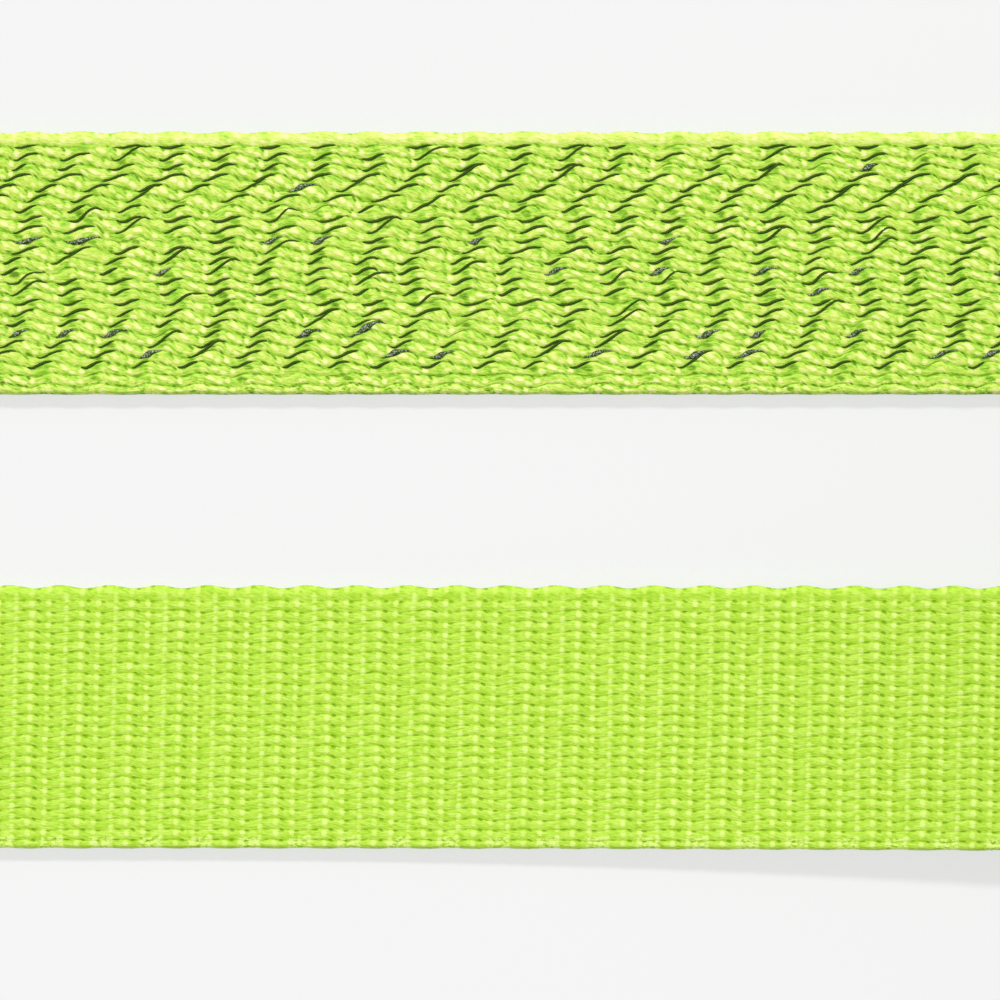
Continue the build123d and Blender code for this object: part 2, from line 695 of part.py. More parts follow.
def pawl_cut(angle, low, high):
    """Cut a rectangle, out from the spool and across, through the whole bar."""
    with BuildSketch(arm_plan_plane(angle)) as cut:
        box_on(low, high)
    extrude(cut.sketch, amount=pawl_thickness, both=True, mode=Mode.SUBTRACT)


def pawl_nub(angle):
    """Tongue on the back of the bar that keeps the spring in place."""
    with BuildSketch(arm_side_plane(angle)) as tongue:
        box_on((pawl_body_end, -pawl_thickness / 2), (pawl_body_end + pawl_nub_length, pawl_thickness / 2))
    extrude(tongue.sketch, amount=pawl_nub_width / 2, both=True)


mouth_half = frame_inner - pawl_mouth_margin

with BuildPart() as lock_pawl:
    pawl_bar(lock_angle, pawl_body_end, wheel_outer - pawl_end_inset)
    pawl_cut(lock_angle, (0, -mouth_half), (pawl_mouth_radius, mouth_half))
    pawl_nub(lock_angle)
lock_pawl.part.label = "lock_pawl"
export_step(lock_pawl.part, "parts/lock_pawl.step")

with BuildPart() as drive_pawl:
    pawl_bar(handle_angle, drive_leg_end + finger_lip_thickness, handle_outer + pawl_ear_reach)
    pawl_cut(handle_angle, (0, -mouth_half), (pawl_mouth_radius, mouth_half))
    for side in (-1, 1):
        ear = sorted((side * drive_leg_outer, side * (handle_outer + 2 * pawl_ear_reach)))
        pawl_cut(handle_angle, (pawl_body_end, ear[0]), (2 * drive_leg_end, ear[1]))
    pawl_cut(handle_angle, (pawl_body_end, -drive_leg_inner), (drive_leg_end, drive_leg_inner))
    pawl_nub(handle_angle)
    with BuildSketch(arm_cross_plane(handle_angle, drive_leg_end)):
        box_on((-drive_leg_outer, 0), (drive_leg_outer, finger_lip_height))
        fillet(vertices().sort_by(Axis.Z)[-2:], radius=finger_lip_corner)
    extrude(amount=finger_lip_thickness)
drive_pawl.part.label = "drive_pawl"
export_step(drive_pawl.part, "parts/drive_pawl.step")

# ------------------------------------------------------------------------------------------- springs
coil_length = spring_length - 2 * spring_wire_radius
for name, angle in (("lock_spring", lock_angle), ("drive_spring", handle_angle)):
    plan = arm_plan_plane(angle)
    with BuildPart() as pawl_spring:
        with BuildLine() as coil:
            Helix(
                pitch=coil_length / spring_turns,
                height=coil_length,
                radius=spring_radius,
                center=plan.origin + plan.x_dir * (pawl_body_end + spring_wire_radius),
                direction=plan.x_dir,
            )
        with BuildSketch(Plane(origin=coil.line @ 0, z_dir=coil.line % 0)):
            Circle(spring_wire_radius)
        sweep(path=coil.line)
    pawl_spring.part.label = name
    export_step(pawl_spring.part, f"parts/{name}.step")

# -------------------------------------------------------------------------------------------- handle
handle_outline = [
    (0, handle_hub_radius),
    (handle_shoulder, handle_shoulder_half),
    (handle_web_start, handle_half_height),
    (handle_length, handle_half_height),
    (handle_length, -handle_half_height),
    (handle_web_start, -handle_half_height),
    (handle_shoulder, -handle_shoulder_half),
    (0, -handle_hub_radius),
]

with BuildPart() as handle_frame:
    for side in (-1, 1):
        with BuildSketch(arm_side_plane(handle_angle, side * (handle_inner + plate_thickness / 2))):
            with BuildLine():
                Polyline(*handle_outline, close=True)
            make_face()
            Circle(handle_hub_radius)
            Circle(spool_radius + running_fit, mode=Mode.SUBTRACT)
            box_on((pawl_slot_start, -pawl_slot_half), (pawl_slot_end, pawl_slot_half), Mode.SUBTRACT)
        extrude(amount=plate_thickness / 2, both=True)
    with BuildSketch(arm_side_plane(handle_angle)):
        box_on((handle_web_start, handle_half_height - plate_thickness), (handle_length, handle_half_height))
        box_on((spring_tab_distance, handle_tab_low), (spring_tab_end, handle_tab_high))
    extrude(amount=handle_inner, both=True)
    with BuildSketch(arm_plan_plane(handle_angle)):
        for side in (-1, 1):
            leg_slot_width = drive_leg_outer - drive_leg_inner + 2 * pawl_slot_clearance
            with Locations((spring_tab_distance, side * (drive_leg_inner + drive_leg_outer) / 2)):
                Rectangle(4 * spring_tab_thickness, leg_slot_width)
    extrude(amount=pawl_slot_half, both=True, mode=Mode.SUBTRACT)
    handle_faces = handle_frame.faces().sort_by(Axis.Y)
    for outer_face in (handle_faces[0], handle_faces[-1]):
        chamfer(outer_face.outer_wire().edges(), length=plate_edge)
    with BuildSketch(arm_side_plane(handle_angle)):
        box_on(*tab_nub)
    extrude(amount=pawl_nub_width / 2, both=True)
handle_frame.part.label = "handle_frame"
export_step(handle_frame.part, "parts/handle_frame.step")

grip_bottom = handle_half_height + grip_lip
grip_crown = handle_half_height + grip_top
grip_stop = handle_length + grip_end
grip_middle = (grip_start + grip_stop) / 2
grip_rib_count = int((grip_stop - grip_start - 2 * grip_rib_margin) / grip_rib_pitch) + 1

with BuildPart() as handle_grip:
    with BuildSketch(arm_side_plane(handle_angle)):
        box_on((grip_start, -grip_bottom), (grip_stop, grip_crown))
    extrude(amount=handle_outer + grip_side, both=True)
    fillet(handle_grip.edges(), radius=grip_edge_radius)
    with BuildSketch(arm_side_plane(handle_angle)):
        box_on((grip_start - cut_overrun, -handle_half_height), (handle_length, handle_half_height))
    extrude(amount=handle_outer, both=True, mode=Mode.SUBTRACT)
    with BuildSketch(arm_side_plane(handle_angle)):
        low = (grip_start - cut_overrun, -grip_bottom - cut_overrun)
        box_on(low, (handle_length, handle_half_height - plate_thickness))
    extrude(amount=handle_inner, both=True, mode=Mode.SUBTRACT)
    with BuildSketch(arm_side_plane(handle_angle)):
        for rib in range(grip_rib_count):
            rib_place = grip_middle + (rib - (grip_rib_count - 1) / 2) * grip_rib_pitch
            with Locations((rib_place, grip_crown)):
                Rectangle(grip_rib_width, 2 * grip_rib_depth)
    extrude(amount=handle_inner, both=True, mode=Mode.SUBTRACT)
handle_grip.part.label = "handle_grip"
export_step(handle_grip.part, "parts/handle_grip.step")

print("roll radius", round(roll_radius, 2), "lift radius", round(lift_radius, 1), "from", round(lift_x, 1))
print("spool axis", [round(value, 3) for value in spool_axis], "bolt", round(bolt_x, 3), bolt_height)
print("hooks", round(fixed_hook_x, 3), round(strap_hook_x, 3), "height", hook_z, "middle", middle_x, middle_y)
print("handle angle", handle_angle, "tooth face angle", round(face_angle, 3))
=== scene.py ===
"""One-inch ratchet tie-down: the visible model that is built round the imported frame.

Two lanes of lime webbing run along X.  The -Y lane is the short strap, plain face up, with the ratchet at its
right end.  The +Y lane is the long strap, reflective face up, with its spare length wound into a roll.
All lengths are metres.
"""
import json
import logging
from dataclasses import dataclass
from enum import Enum
from math import acos, atan2, cos, pi, radians, sin, sqrt, tau
from typing import Sequence

import bpy
import numpy as np
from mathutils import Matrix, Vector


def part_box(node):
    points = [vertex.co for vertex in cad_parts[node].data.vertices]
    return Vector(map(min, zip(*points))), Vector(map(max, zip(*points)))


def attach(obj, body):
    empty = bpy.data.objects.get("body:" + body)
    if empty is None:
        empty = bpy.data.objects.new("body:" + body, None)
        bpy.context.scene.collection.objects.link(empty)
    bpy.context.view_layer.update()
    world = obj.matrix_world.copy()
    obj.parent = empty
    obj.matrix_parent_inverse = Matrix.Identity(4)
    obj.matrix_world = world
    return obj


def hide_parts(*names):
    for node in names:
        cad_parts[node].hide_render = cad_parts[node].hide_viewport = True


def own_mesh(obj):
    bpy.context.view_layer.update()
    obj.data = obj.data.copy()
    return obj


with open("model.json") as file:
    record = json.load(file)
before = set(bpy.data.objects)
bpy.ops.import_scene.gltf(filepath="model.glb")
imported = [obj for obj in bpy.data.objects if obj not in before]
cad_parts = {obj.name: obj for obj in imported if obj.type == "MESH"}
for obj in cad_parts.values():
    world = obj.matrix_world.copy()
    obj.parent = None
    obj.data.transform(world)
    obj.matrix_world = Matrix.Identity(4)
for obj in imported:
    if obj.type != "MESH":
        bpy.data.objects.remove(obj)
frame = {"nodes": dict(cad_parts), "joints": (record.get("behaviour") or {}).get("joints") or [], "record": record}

LOG = logging.getLogger("tie_down")
MM = 0.001
SPACER_RADIUS = 5.0 * MM
UV_NAME = "weave"
FLAT_NAME = "flatness"
Array = np.ndarray
Colour = tuple[float, float, float]
Point = tuple[float, float]
Socket = bpy.types.NodeSocket
Tree = bpy.types.NodeTree
Material = bpy.types.Material
Piece = bpy.types.Object


# ------------------------------------------------------------------------------------------ colour
def srgb(red: int, green: int, blue: int) -> Colour:
    """Turn a colour written in the usual 0-255 way into linear light.

    Args:
        red: Red share, 0 to 255.
        green: Green share, 0 to 255.
        blue: Blue share, 0 to 255.

    Returns:
        The three linear shares, 0 to 1.
    """
    shares = np.array([red, green, blue]) / 255.0
    linear = np.where(shares <= 0.04045, shares / 12.92, ((shares + 0.055) / 1.055) ** 2.4)
    return (float(linear[0]), float(linear[1]), float(linear[2]))


# ------------------------------------------------------------------------------------- node builder
class Nodes:
    """Short calls for the nodes of one material or node group."""

    def __init__(self, tree: Tree) -> None:
        """Keep the tree that every call adds to."""
        self.tree = tree

    def add(self, kind: str, inputs: dict[str | int, object] | None = None,
            **settings: object) -> bpy.types.Node:
        """Add a shader node.

        Args:
            kind: The node's type name, without the words that all shader nodes start with.
            inputs: Values or sockets by input name or number.
            settings: Properties of the node itself.

        Returns:
            The new node.
        """
        node = self.tree.nodes.new("ShaderNode" + kind)
        for name, value in settings.items():
            setattr(node, name, value)
        self.fill(node, inputs or {})
        return node

    def fill(self, node: bpy.types.Node, inputs: dict[str | int, object]) -> None:
        """Connect or set inputs of a node, by name or number."""
        for name, value in inputs.items():
            self.feed(node.inputs[name], value)

    def feed(self, socket: Socket, value: object) -> None:
        """Link a socket to an input, or set its plain value.

        Args:
            socket: The input.
            value: A socket, or a plain value; a colour may leave out its alpha.
        """
        if isinstance(value, Socket):
            self.tree.links.new(value, socket)
        elif isinstance(value, tuple) and socket.type == "RGBA" and len(value) == 3:
            socket.default_value = (*value, 1.0)
        else:
            socket.default_value = value

    def math(self, operation: str, first: object, second: object = 0.0, clamp: bool = False) -> Socket:
        """One Math node; returns its result."""
        return self.add("Math", {0: first, 1: second}, operation=operation, use_clamp=clamp).outputs[0]

    def plus(self, first: object, second: object, clamp: bool = False) -> Socket:
        """Sum of two values."""
        return self.math("ADD", first, second, clamp)

    def minus(self, first: object, second: object) -> Socket:
        """Difference of two values."""
        return self.math("SUBTRACT", first, second)

    def times(self, first: object, second: object) -> Socket:
        """Product of two values."""
        return self.math("MULTIPLY", first, second)

    def mix(self, share: object, first: object, second: object) -> Socket:
        """Mix two colours by a share; returns the colour."""
        return self.add("Mix", {0: share, 6: first, 7: second}, data_type="RGBA").outputs[2]

    def span(self, value: object, low: float, high: float, to_low: float = 0.0, to_high: float = 1.0,
             smooth: bool = False) -> Socket:
        """Map a value from one range to another, held at the ends.

        Args:
            value: What is mapped.
            low: Start of its range.
            high: End of its range.
            to_low: What the start becomes.
            to_high: What the end becomes.
            smooth: Whether the way between them eases in and out.

        Returns:
            The result.
        """
        kind = "SMOOTHSTEP" if smooth else "LINEAR"
        inputs = {0: value, 1: low, 2: high, 3: to_low, 4: to_high}
        return self.add("MapRange", inputs, interpolation_type=kind).outputs[0]

    def noise(self, vector: object, scale: float, detail: float = 2.0, roughness: float = 0.5) -> Socket:
        """Noise between 0 and 1 on a vector; returns the value."""
        inputs = {"Vector": vector, "Scale": scale, "Detail": detail, "Roughness": roughness}
        return self.add("TexNoise", inputs).outputs[0]

    def scaled(self, vector: object, factors: Sequence[float]) -> Socket:
        """Stretch a vector by three factors; returns the vector."""
        return self.add("VectorMath", {0: vector, 1: tuple(factors)}, operation="MULTIPLY").outputs[0]

    def split(self, vector: object) -> tuple[Socket, Socket]:
        """First two parts of a vector."""
        parts = self.add("SeparateXYZ", {0: vector}).outputs
        return parts[0], parts[1]

    def joined(self, first: object, second: object) -> Socket:
        """Vector of two parts."""
        return self.add("CombineXYZ", {0: first, 1: second}).outputs[0]

    def bump(self, height: object, strength: float, distance: float) -> Socket:
        """Normal of a surface that a height raises by up to a distance."""
        return self.add("Bump", {"Height": height, "Strength": strength, "Distance": distance}).outputs[0]


def new_group(name: str, inputs: dict[str, tuple[str, object]],
              outputs: Sequence[str]) -> tuple[Nodes, dict[str, Socket], dict[str, Socket]]:
    """Start a shader node group with named sockets.

    Args:
        name: The group's name.
        inputs: Socket kind, Float or Vector, and first value by input name.
        outputs: The names of its outputs, all plain numbers.

    Returns:
        The node builder, the group's input sockets by name, and the sockets that take its outputs.
    """
    tree = bpy.data.node_groups.new(name, "ShaderNodeTree")
    for label, (kind, value) in inputs.items():
        socket = tree.interface.new_socket(name=label, in_out="INPUT", socket_type="NodeSocket" + kind)
        if value is not None:
            socket.default_value = value
    for label in outputs:
        tree.interface.new_socket(name=label, in_out="OUTPUT", socket_type="NodeSocketFloat")
    source, sink = tree.nodes.new("NodeGroupInput"), tree.nodes.new("NodeGroupOutput")
    given = {label: source.outputs[label] for label in inputs}
    return Nodes(tree), given, {label: sink.inputs[label] for label in outputs}


class Effects:
    """Shader node groups that several finishes share, each built once."""

    STREAK_SCALE = (7.0, 6.0, 1.0)
    BLOTCH_SCALE = (2.6, 1.5, 1.0)
    CLOUD_SCALE = 170.0
    CLOUD_EDGES = (0.35, 0.7)
    SCRATCH_STRETCH = (1.0, 9.0, 5.0)
    SCRATCH_SCALE = 260.0
    SCRATCH_EDGES = (0.62, 0.78)
    GRAIN_SCALE = 2600.0

    def __init__(self) -> None:
        """Build the groups."""
        self.spot = self._spot()
        self.filament = self._filament()
        self.wear = self._wear()

    @staticmethod
    def _spot() -> Tree:
        """A soft spot in every cell of the weave: distance from its centre, each way over its own size.

        Returns:
            The group, whose mask is 1 at the centre and 0 from one size away.
        """
        places = {label: ("Float", value) for label, value in (
            ("Along", 0.5), ("Across", 0.5), ("Length", 0.2), ("Width", 0.2), ("Lean", 0.0))}
        nodes, given, out = new_group("weave_spot", {"Cell": ("Vector", None), **places}, ["Mask"])
        cell_along, cell_across = nodes.split(given["Cell"])

        def offset(coordinate: object, centre: object) -> Socket:
            """Signed distance from the nearest copy of the centre."""
            moved = nodes.plus(nodes.minus(coordinate, centre), 0.5)
            return nodes.minus(nodes.math("FRACT", moved), 0.5)

        across = offset(cell_across, given["Across"])
        along = nodes.plus(offset(cell_along, given["Along"]), nodes.times(across, given["Lean"]))
        shares = [nodes.math("ABSOLUTE", nodes.math("DIVIDE", distance, size))
                  for distance, size in ((along, given["Length"]), (across, given["Width"]))]
        total = nodes.plus(*(nodes.math("POWER", share, 2.0) for share in shares))
        nodes.feed(out["Mask"], nodes.span(total, 1.0, 0.0, smooth=True))
        return nodes.tree

    def _filament(self) -> Tree:
        """Fine threads that run along a yarn and lean across it: noise drawn out along the yarn.

        Returns:
            The group, with streaks from 0 to 1 and slower blotches from 0 to 1.
        """
        nodes, given, out = new_group(
            "filament_streaks", {"Cell": ("Vector", None), "Lean": ("Float", 0.5)}, ["Streak", "Blotch"])
        along, across = nodes.split(given["Cell"])
        vector = nodes.joined(along, nodes.plus(across, nodes.times(along, given["Lean"])))
        nodes.feed(out["Streak"], nodes.noise(nodes.scaled(vector, self.STREAK_SCALE), 1.0, 2.0, 0.65))
        nodes.feed(out["Blotch"], nodes.noise(nodes.scaled(vector, self.BLOTCH_SCALE), 1.0))
        return nodes.tree

    def _wear(self) -> Tree:
        """Handling marks on hard surfaces: cloudy patches and thin scratches from object coordinates.

        Returns:
            The group, with cloud, scratch and grain masks from 0 to 1.
        """
        nodes, given, out = new_group(
            "handling_marks", {"Place": ("Vector", None), "Size": ("Float", 1.0)},
            ["Cloud", "Scratch", "Grain"])
        sized = nodes.add("VectorMath", {0: given["Place"], "Scale": given["Size"]}, operation="SCALE")
        place = sized.outputs[0]
        cloud = nodes.noise(place, self.CLOUD_SCALE, 4.0, 0.6)
        nodes.feed(out["Cloud"], nodes.span(cloud, *self.CLOUD_EDGES, smooth=True))
        lines = nodes.noise(nodes.scaled(place, self.SCRATCH_STRETCH), self.SCRATCH_SCALE, 3.0, 0.7)
        nodes.feed(out["Scratch"], nodes.span(lines, *self.SCRATCH_EDGES, smooth=True))
        nodes.feed(out["Grain"], nodes.noise(place, self.GRAIN_SCALE, 2.0, 0.6))
        return nodes.tree


# ---------------------------------------------------------------------------------------- finishes
def new_material(name: str) -> tuple[Material, Nodes, bpy.types.Node]:
    """Start a material with one Principled shader.

    Args:
        name: The material's name.

    Returns:
        The material, its node builder and the shader node.
    """
    material = bpy.data.materials.new(name)
    material.use_nodes = True
    material.node_tree.nodes.clear()
    nodes = Nodes(material.node_tree)
    shader = nodes.add("BsdfPrincipled")
    nodes.add("OutputMaterial", {0: shader.outputs[0]})
    return material, nodes, shader


@dataclass(frozen=True)
class Spot:
    """One patch that repeats in every cell of the weave, placed by its share of the repeat and of the row.

    Its tone is a painted highlight on the yarn where positive and a painted shade where negative, and its height
    lifts or sinks it.
    """

    along: float
    across: float
    length: float
    width: float
    tone: float
    height: float = 0.0
    lean: float = 0.0


class Face(Enum):
    """The two faces of the webbing; the value is the material slot."""

    REFLECTIVE = 0
    PLAIN = 1


# Painted light in each cell: spots of positive tone are painted highlights on the yarn crests and the plain face's
# dots, spots of negative tone are painted shade in the pits and notches between yarns.
CELL_SPOTS = {
    Face.REFLECTIVE: (
        Spot(0.60, 0.66, 0.125, 0.28, 0.46, 0.05 * MM, 0.18),
        Spot(0.96, 0.52, 0.080, 0.34, 0.46, 0.06 * MM, 0.04),
        Spot(0.24, 0.60, 0.120, 0.40, -0.24, 0.0, 0.15),
        Spot(0.42, 0.32, 0.095, 0.26, 0.36, 0.03 * MM, 0.1),
        Spot(0.78, 0.36, 0.085, 0.26, 0.34, 0.03 * MM, 0.1),
        Spot(0.13, 0.99, 0.200, 0.20, -0.26, -0.06 * MM, -0.3),
        Spot(0.50, 0.92, 0.055, 0.50, -0.30, -0.08 * MM, 0.20),
        Spot(0.86, 0.90, 0.050, 0.46, -0.28, -0.08 * MM, 0.18),
        Spot(0.68, 0.12, 0.100, 0.16, -0.22, -0.04 * MM, 0.3),
        Spot(0.32, 0.10, 0.080, 0.18, -0.20, -0.04 * MM, 0.3),
    ),
    Face.PLAIN: (
        Spot(0.100, 0.86, 0.076, 0.44, 0.44, 0.05 * MM),
        Spot(0.450, 0.22, 0.070, 0.46, 0.44, 0.05 * MM),
        Spot(0.765, 0.62, 0.076, 0.46, 0.46, 0.05 * MM),
        Spot(0.895, 0.99, 0.060, 0.19, -0.70, -0.06 * MM, 0.10),
        Spot(0.190, 0.98, 0.070, 0.14, -0.44, -0.04 * MM, 0.12),
        Spot(0.580, 0.99, 0.080, 0.14, -0.36, -0.04 * MM, 0.1),
        Spot(0.520, 0.50, 0.050, 0.26, -0.10, -0.02 * MM, 0.3),
        Spot(0.200, 0.55, 0.050, 0.26, -0.10, -0.02 * MM, 0.3),
        Spot(0.320, 0.60, 0.100, 0.26, 0.12, 0.02 * MM, 0.1),
        Spot(0.650, 0.45, 0.100, 0.26, 0.10, 0.02 * MM, 0.1),
    ),
}


@dataclass(frozen=True)
class WebbingFinish:
    """Lime polyester webbing, coloured by where a point lies in its cell of the weave, with painted highlight and
    shade.
    """

    name: str
    face: Face
    tones: tuple[tuple[float, Colour], ...]
    # Painted shade in the furrows between rows: how dark it is, and how far across the row it reaches.
    furrow_shade: float
    furrow_shade_width: float
    mottle: float
    chance: float
    calm: float
    # Painted highlight along the last row; where negative, a slight painted shade.
    painted_rim_tone: float
    knot: float
    # Painted shade in the tiny holes of the lower selvedge.
    pinhole_shade: float
    lean: float = 0.55
    luck_step: float = 7.31
    blotch_edges: Point = (0.25, 0.75)
    streak_edges: Point = (0.3, 0.7)
    streak_share: float = 1.2
    streak_height: float = 0.05
    tone_height: float = 0.06
    bump_strength: float = 0.7
    roughness: Point = (0.5, 0.7)
    specular: float = 0.3
    sheen: float = 0.15
    sheen_roughness: float = 0.4
    last_row: float = 24.0
    knot_scale: Point = (11.0, 2.6)
    knot_edges: Point = (0.47, 0.56)
    knot_wave: Point = (-0.2, 0.5)
    knot_rows: Point = (1.6, 1.2)

    def make(self, effects: Effects) -> Material:
        """Build the material.

        A point's tone is the blotch of its threads, plus each spot of its cell by that cell's own luck as a
        painted highlight or painted shade, less the furrow's painted shade, plus the selvedge and the fine
        streaks.  A ramp turns the tone into a colour.

        Args:
            effects: The shared node groups.

        Returns:
            The material.
        """
        material, nodes, shader = new_material(self.name)
        uv = nodes.add("UVMap", uv_map=UV_NAME).outputs[0]
        along, row_share = nodes.split(uv)
        cell = nodes.joined(nodes.math("FLOOR", along), nodes.math("FLOOR", row_share))
        chance = nodes.add("TexWhiteNoise", {"Vector": cell}, noise_dimensions="3D").outputs[0]
        threads = nodes.add("Group", node_tree=effects.filament)
        nodes.fill(threads, {"Cell": uv, "Lean": self.lean})
        streak = threads.outputs["Streak"]
        blotch = threads.outputs["Blotch"]
        tone = nodes.span(blotch, *self.blotch_edges, 0.5 - self.mottle, 0.5 + self.mottle)
        calm = nodes.span(row_share, self.last_row - 0.1, self.last_row + 0.2, 1.0, self.calm)
        # Painted highlights and painted shade: each spot's tone, weighed by the cell's luck.
        for number, spot in enumerate(CELL_SPOTS[self.face], start=1):
            mask = nodes.add("Group", node_tree=effects.spot)
            nodes.fill(mask, {"Cell": uv, "Along": spot.along, "Across": spot.across, "Length": spot.length,
                              "Width": spot.width, "Lean": spot.lean})
            luck = nodes.math("FRACT", nodes.times(chance, self.luck_step * number))
            weight = nodes.span(luck, 0.0, 1.0, (1 - self.chance) * spot.tone, (1 + self.chance) * spot.tone)
            tone = nodes.plus(tone, nodes.times(mask.outputs[0], nodes.times(weight, calm)))
        # Painted shade: the tone darkens towards the furrow between two rows, where the yarns shade each other.
        middle = nodes.math("ABSOLUTE", nodes.minus(nodes.math("FRACT", row_share), 0.5))
        edge = nodes.span(middle, 0.5 - self.furrow_shade_width, 0.5, 0.0, self.furrow_shade, smooth=True)
        tone = nodes.plus(nodes.minus(tone, edge), self.selvedge(nodes, along, row_share))
        reach = self.streak_share * self.mottle
        tone = nodes.plus(tone, nodes.span(streak, *self.streak_edges, -reach, reach), clamp=True)
        # The ramp runs from painted shade at low tone, through the yarn's own lime, to painted highlight at high
        # tone.
        ramp = nodes.add("ValToRGB", {0: tone})
        elements = ramp.color_ramp.elements
        while len(elements) < len(self.tones):
            elements.new(0.5)
        for element, (place, colour) in zip(elements, self.tones):
            element.position = place
            element.color = (*colour, 1.0)
        height = nodes.plus(nodes.times(streak, self.streak_height), nodes.times(tone, self.tone_height))
        nodes.fill(shader, {
            "Base Color": ramp.outputs[0], "Normal": nodes.bump(height, self.bump_strength, 1.0 * MM),
            "Roughness": nodes.span(streak, 0.2, 0.8, *self.roughness),
            "Specular IOR Level": self.specular, "Sheen Weight": self.sheen,
            "Sheen Roughness": self.sheen_roughness})
        return material

    def selvedge(self, nodes: Nodes, along: Socket, row_share: Socket) -> Socket:
        """Tone to add at the two edges: a smooth last row with painted highlight (painted shade where negative) at
        one, and pale knots with painted shade in the tiny holes between them at the other.

        Args:
            nodes: The material's node builder.
            along: Repeats counted along the row.
            row_share: Rows counted across the strap.

        Returns:
            The tone.
        """
        knots = nodes.joined(*(nodes.times(part, scale) for part, scale in
                               zip((along, row_share), self.knot_scale)))
        speckle = nodes.noise(knots, 1.0, 2.0, 0.6)
        # Pale knots, and painted shade in the tiny holes between them.
        speckle = nodes.span(speckle, *self.knot_edges, self.knot, self.pinhole_shade)
        wave = nodes.math("SINE", nodes.times(along, tau))
        speckle = nodes.times(speckle, nodes.span(wave, *self.knot_wave, smooth=True))
        low = nodes.times(speckle, nodes.span(row_share, *self.knot_rows, smooth=True))
        # Painted highlight along the last row (a slight painted shade where the tone is negative).
        high = nodes.span(row_share, self.last_row, self.last_row + 0.3, 0.0, self.painted_rim_tone, smooth=True)
        return nodes.plus(low, high)


@dataclass(frozen=True)
class FilmFinish:
    """Dark reflective film thread, with painted glints of its glass microspheres where it lies flat."""

    name: str = "reflective_film"
    dark: Colour = srgb(44, 71, 4)
    light: Colour = srgb(61, 93, 16)
    bead_glint: Colour = srgb(186, 186, 180)
    bead_scale: float = 7000.0
    bead_edges: Point = (0.5, 0.62)
    flat_edges: Point = (0.3, 0.8)
    tint_scale: float = 1500.0
    roughness: Point = (0.5, 0.25)
    specular: float = 0.15

    def make(self) -> Material:
        """Build the material: the painted glints are noise peaks, weighed by the thread's own flatness attribute.

        Returns:
            The material.
        """
        material, nodes, shader = new_material(self.name)
        place = nodes.add("TexCoord").outputs["Object"]
        flat = nodes.add("Attribute", attribute_name=FLAT_NAME).outputs["Fac"]
        # Painted glint: the grey colour where the film lies flat and faces up.
        glints = nodes.span(nodes.noise(place, self.bead_scale, 2.0, 0.7), *self.bead_edges)
        share = nodes.times(glints, nodes.span(flat, *self.flat_edges))
        tint = nodes.mix(nodes.noise(place, self.tint_scale, 1.0), self.dark, self.light)
        nodes.fill(shader, {"Base Color": nodes.mix(share, tint, self.bead_glint),
                            "Roughness": nodes.span(share, 0.0, 1.0, *self.roughness),
                            "Specular IOR Level": self.specular})
        return material


@dataclass(frozen=True)
class ThreadFinish:
    """Bonded sewing thread: two plies that wind round each other, with painted shade in the groove between them.
    """

    name: str = "sewing_thread"
    light: Colour = srgb(96, 150, 40)
    dark: Colour = srgb(48, 84, 22)
    twist: float = 40.0
    ply_depth: float = 0.1 * MM
    bump_strength: float = 0.5
    roughness: float = 0.5

    def make(self) -> Material:
        """Build the material from a slanting wave across each stitch, darker as painted shade in the groove
        between plies.

        Returns:
            The material.
        """
        material, nodes, shader = new_material(self.name)
        length, way_round = nodes.split(nodes.add("UVMap", uv_map=UV_NAME).outputs[0])
        turn = nodes.plus(nodes.times(length, self.twist), nodes.times(way_round, tau))
        wave = nodes.plus(nodes.times(nodes.math("SINE", turn), 0.5), 0.5)
        # Painted shade: darker where the wave dips into the groove between the plies, the thread's own colour on
        # their crests.
        nodes.fill(shader, {"Base Color": nodes.mix(wave, self.dark, self.light),
                            "Normal": nodes.bump(wave, self.bump_strength, self.ply_depth),
                            "Roughness": self.roughness})
        return material


def handling_marks(nodes: Nodes, effects: Effects, size: float = 1.0) -> tuple[Socket, Socket, Socket]:
    """Place the shared handling marks in a material.

    Args:
        nodes: The material's node builder.
        effects: The shared node groups.
        size: How fine the marks are; they shrink as it grows.

    Returns:
        Cloud, scratch and grain masks from 0 to 1.
    """
    marks = nodes.add("Group", node_tree=effects.wear)
    nodes.fill(marks, {"Place": nodes.add("TexCoord").outputs["Object"], "Size": size})
    return marks.outputs["Cloud"], marks.outputs["Scratch"], marks.outputs["Grain"]


@dataclass(frozen=True)
class MetalFinish:
    """Plated steel: bright, a little cloudy, with fine scratches."""

    name: str
    colour: Colour
    cloud: Colour
    rough_low: float
    rough_high: float
    size: float = 1.0
    scratch_rough: float = 0.12
    grain_share: float = 0.35
    mark_depth: float = 0.02 * MM
    bump_strength: float = 0.25

    def make(self, effects: Effects) -> Material:
        """Build the material from the shared handling marks.

        Args:
            effects: The shared node groups.

        Returns:
            The material.
        """
        material, nodes, shader = new_material(self.name)
        cloud, scratch, grain = handling_marks(nodes, effects, self.size)
        rough = nodes.span(cloud, 0.0, 1.0, self.rough_low, self.rough_high)
        height = nodes.minus(nodes.times(grain, self.grain_share), scratch)
        nodes.fill(shader, {
            "Base Color": nodes.mix(cloud, self.colour, self.cloud), "Metallic": 1.0,
            "Roughness": nodes.plus(rough, nodes.times(scratch, self.scratch_rough)),
            "Normal": nodes.bump(height, self.bump_strength, self.mark_depth)})
        return material


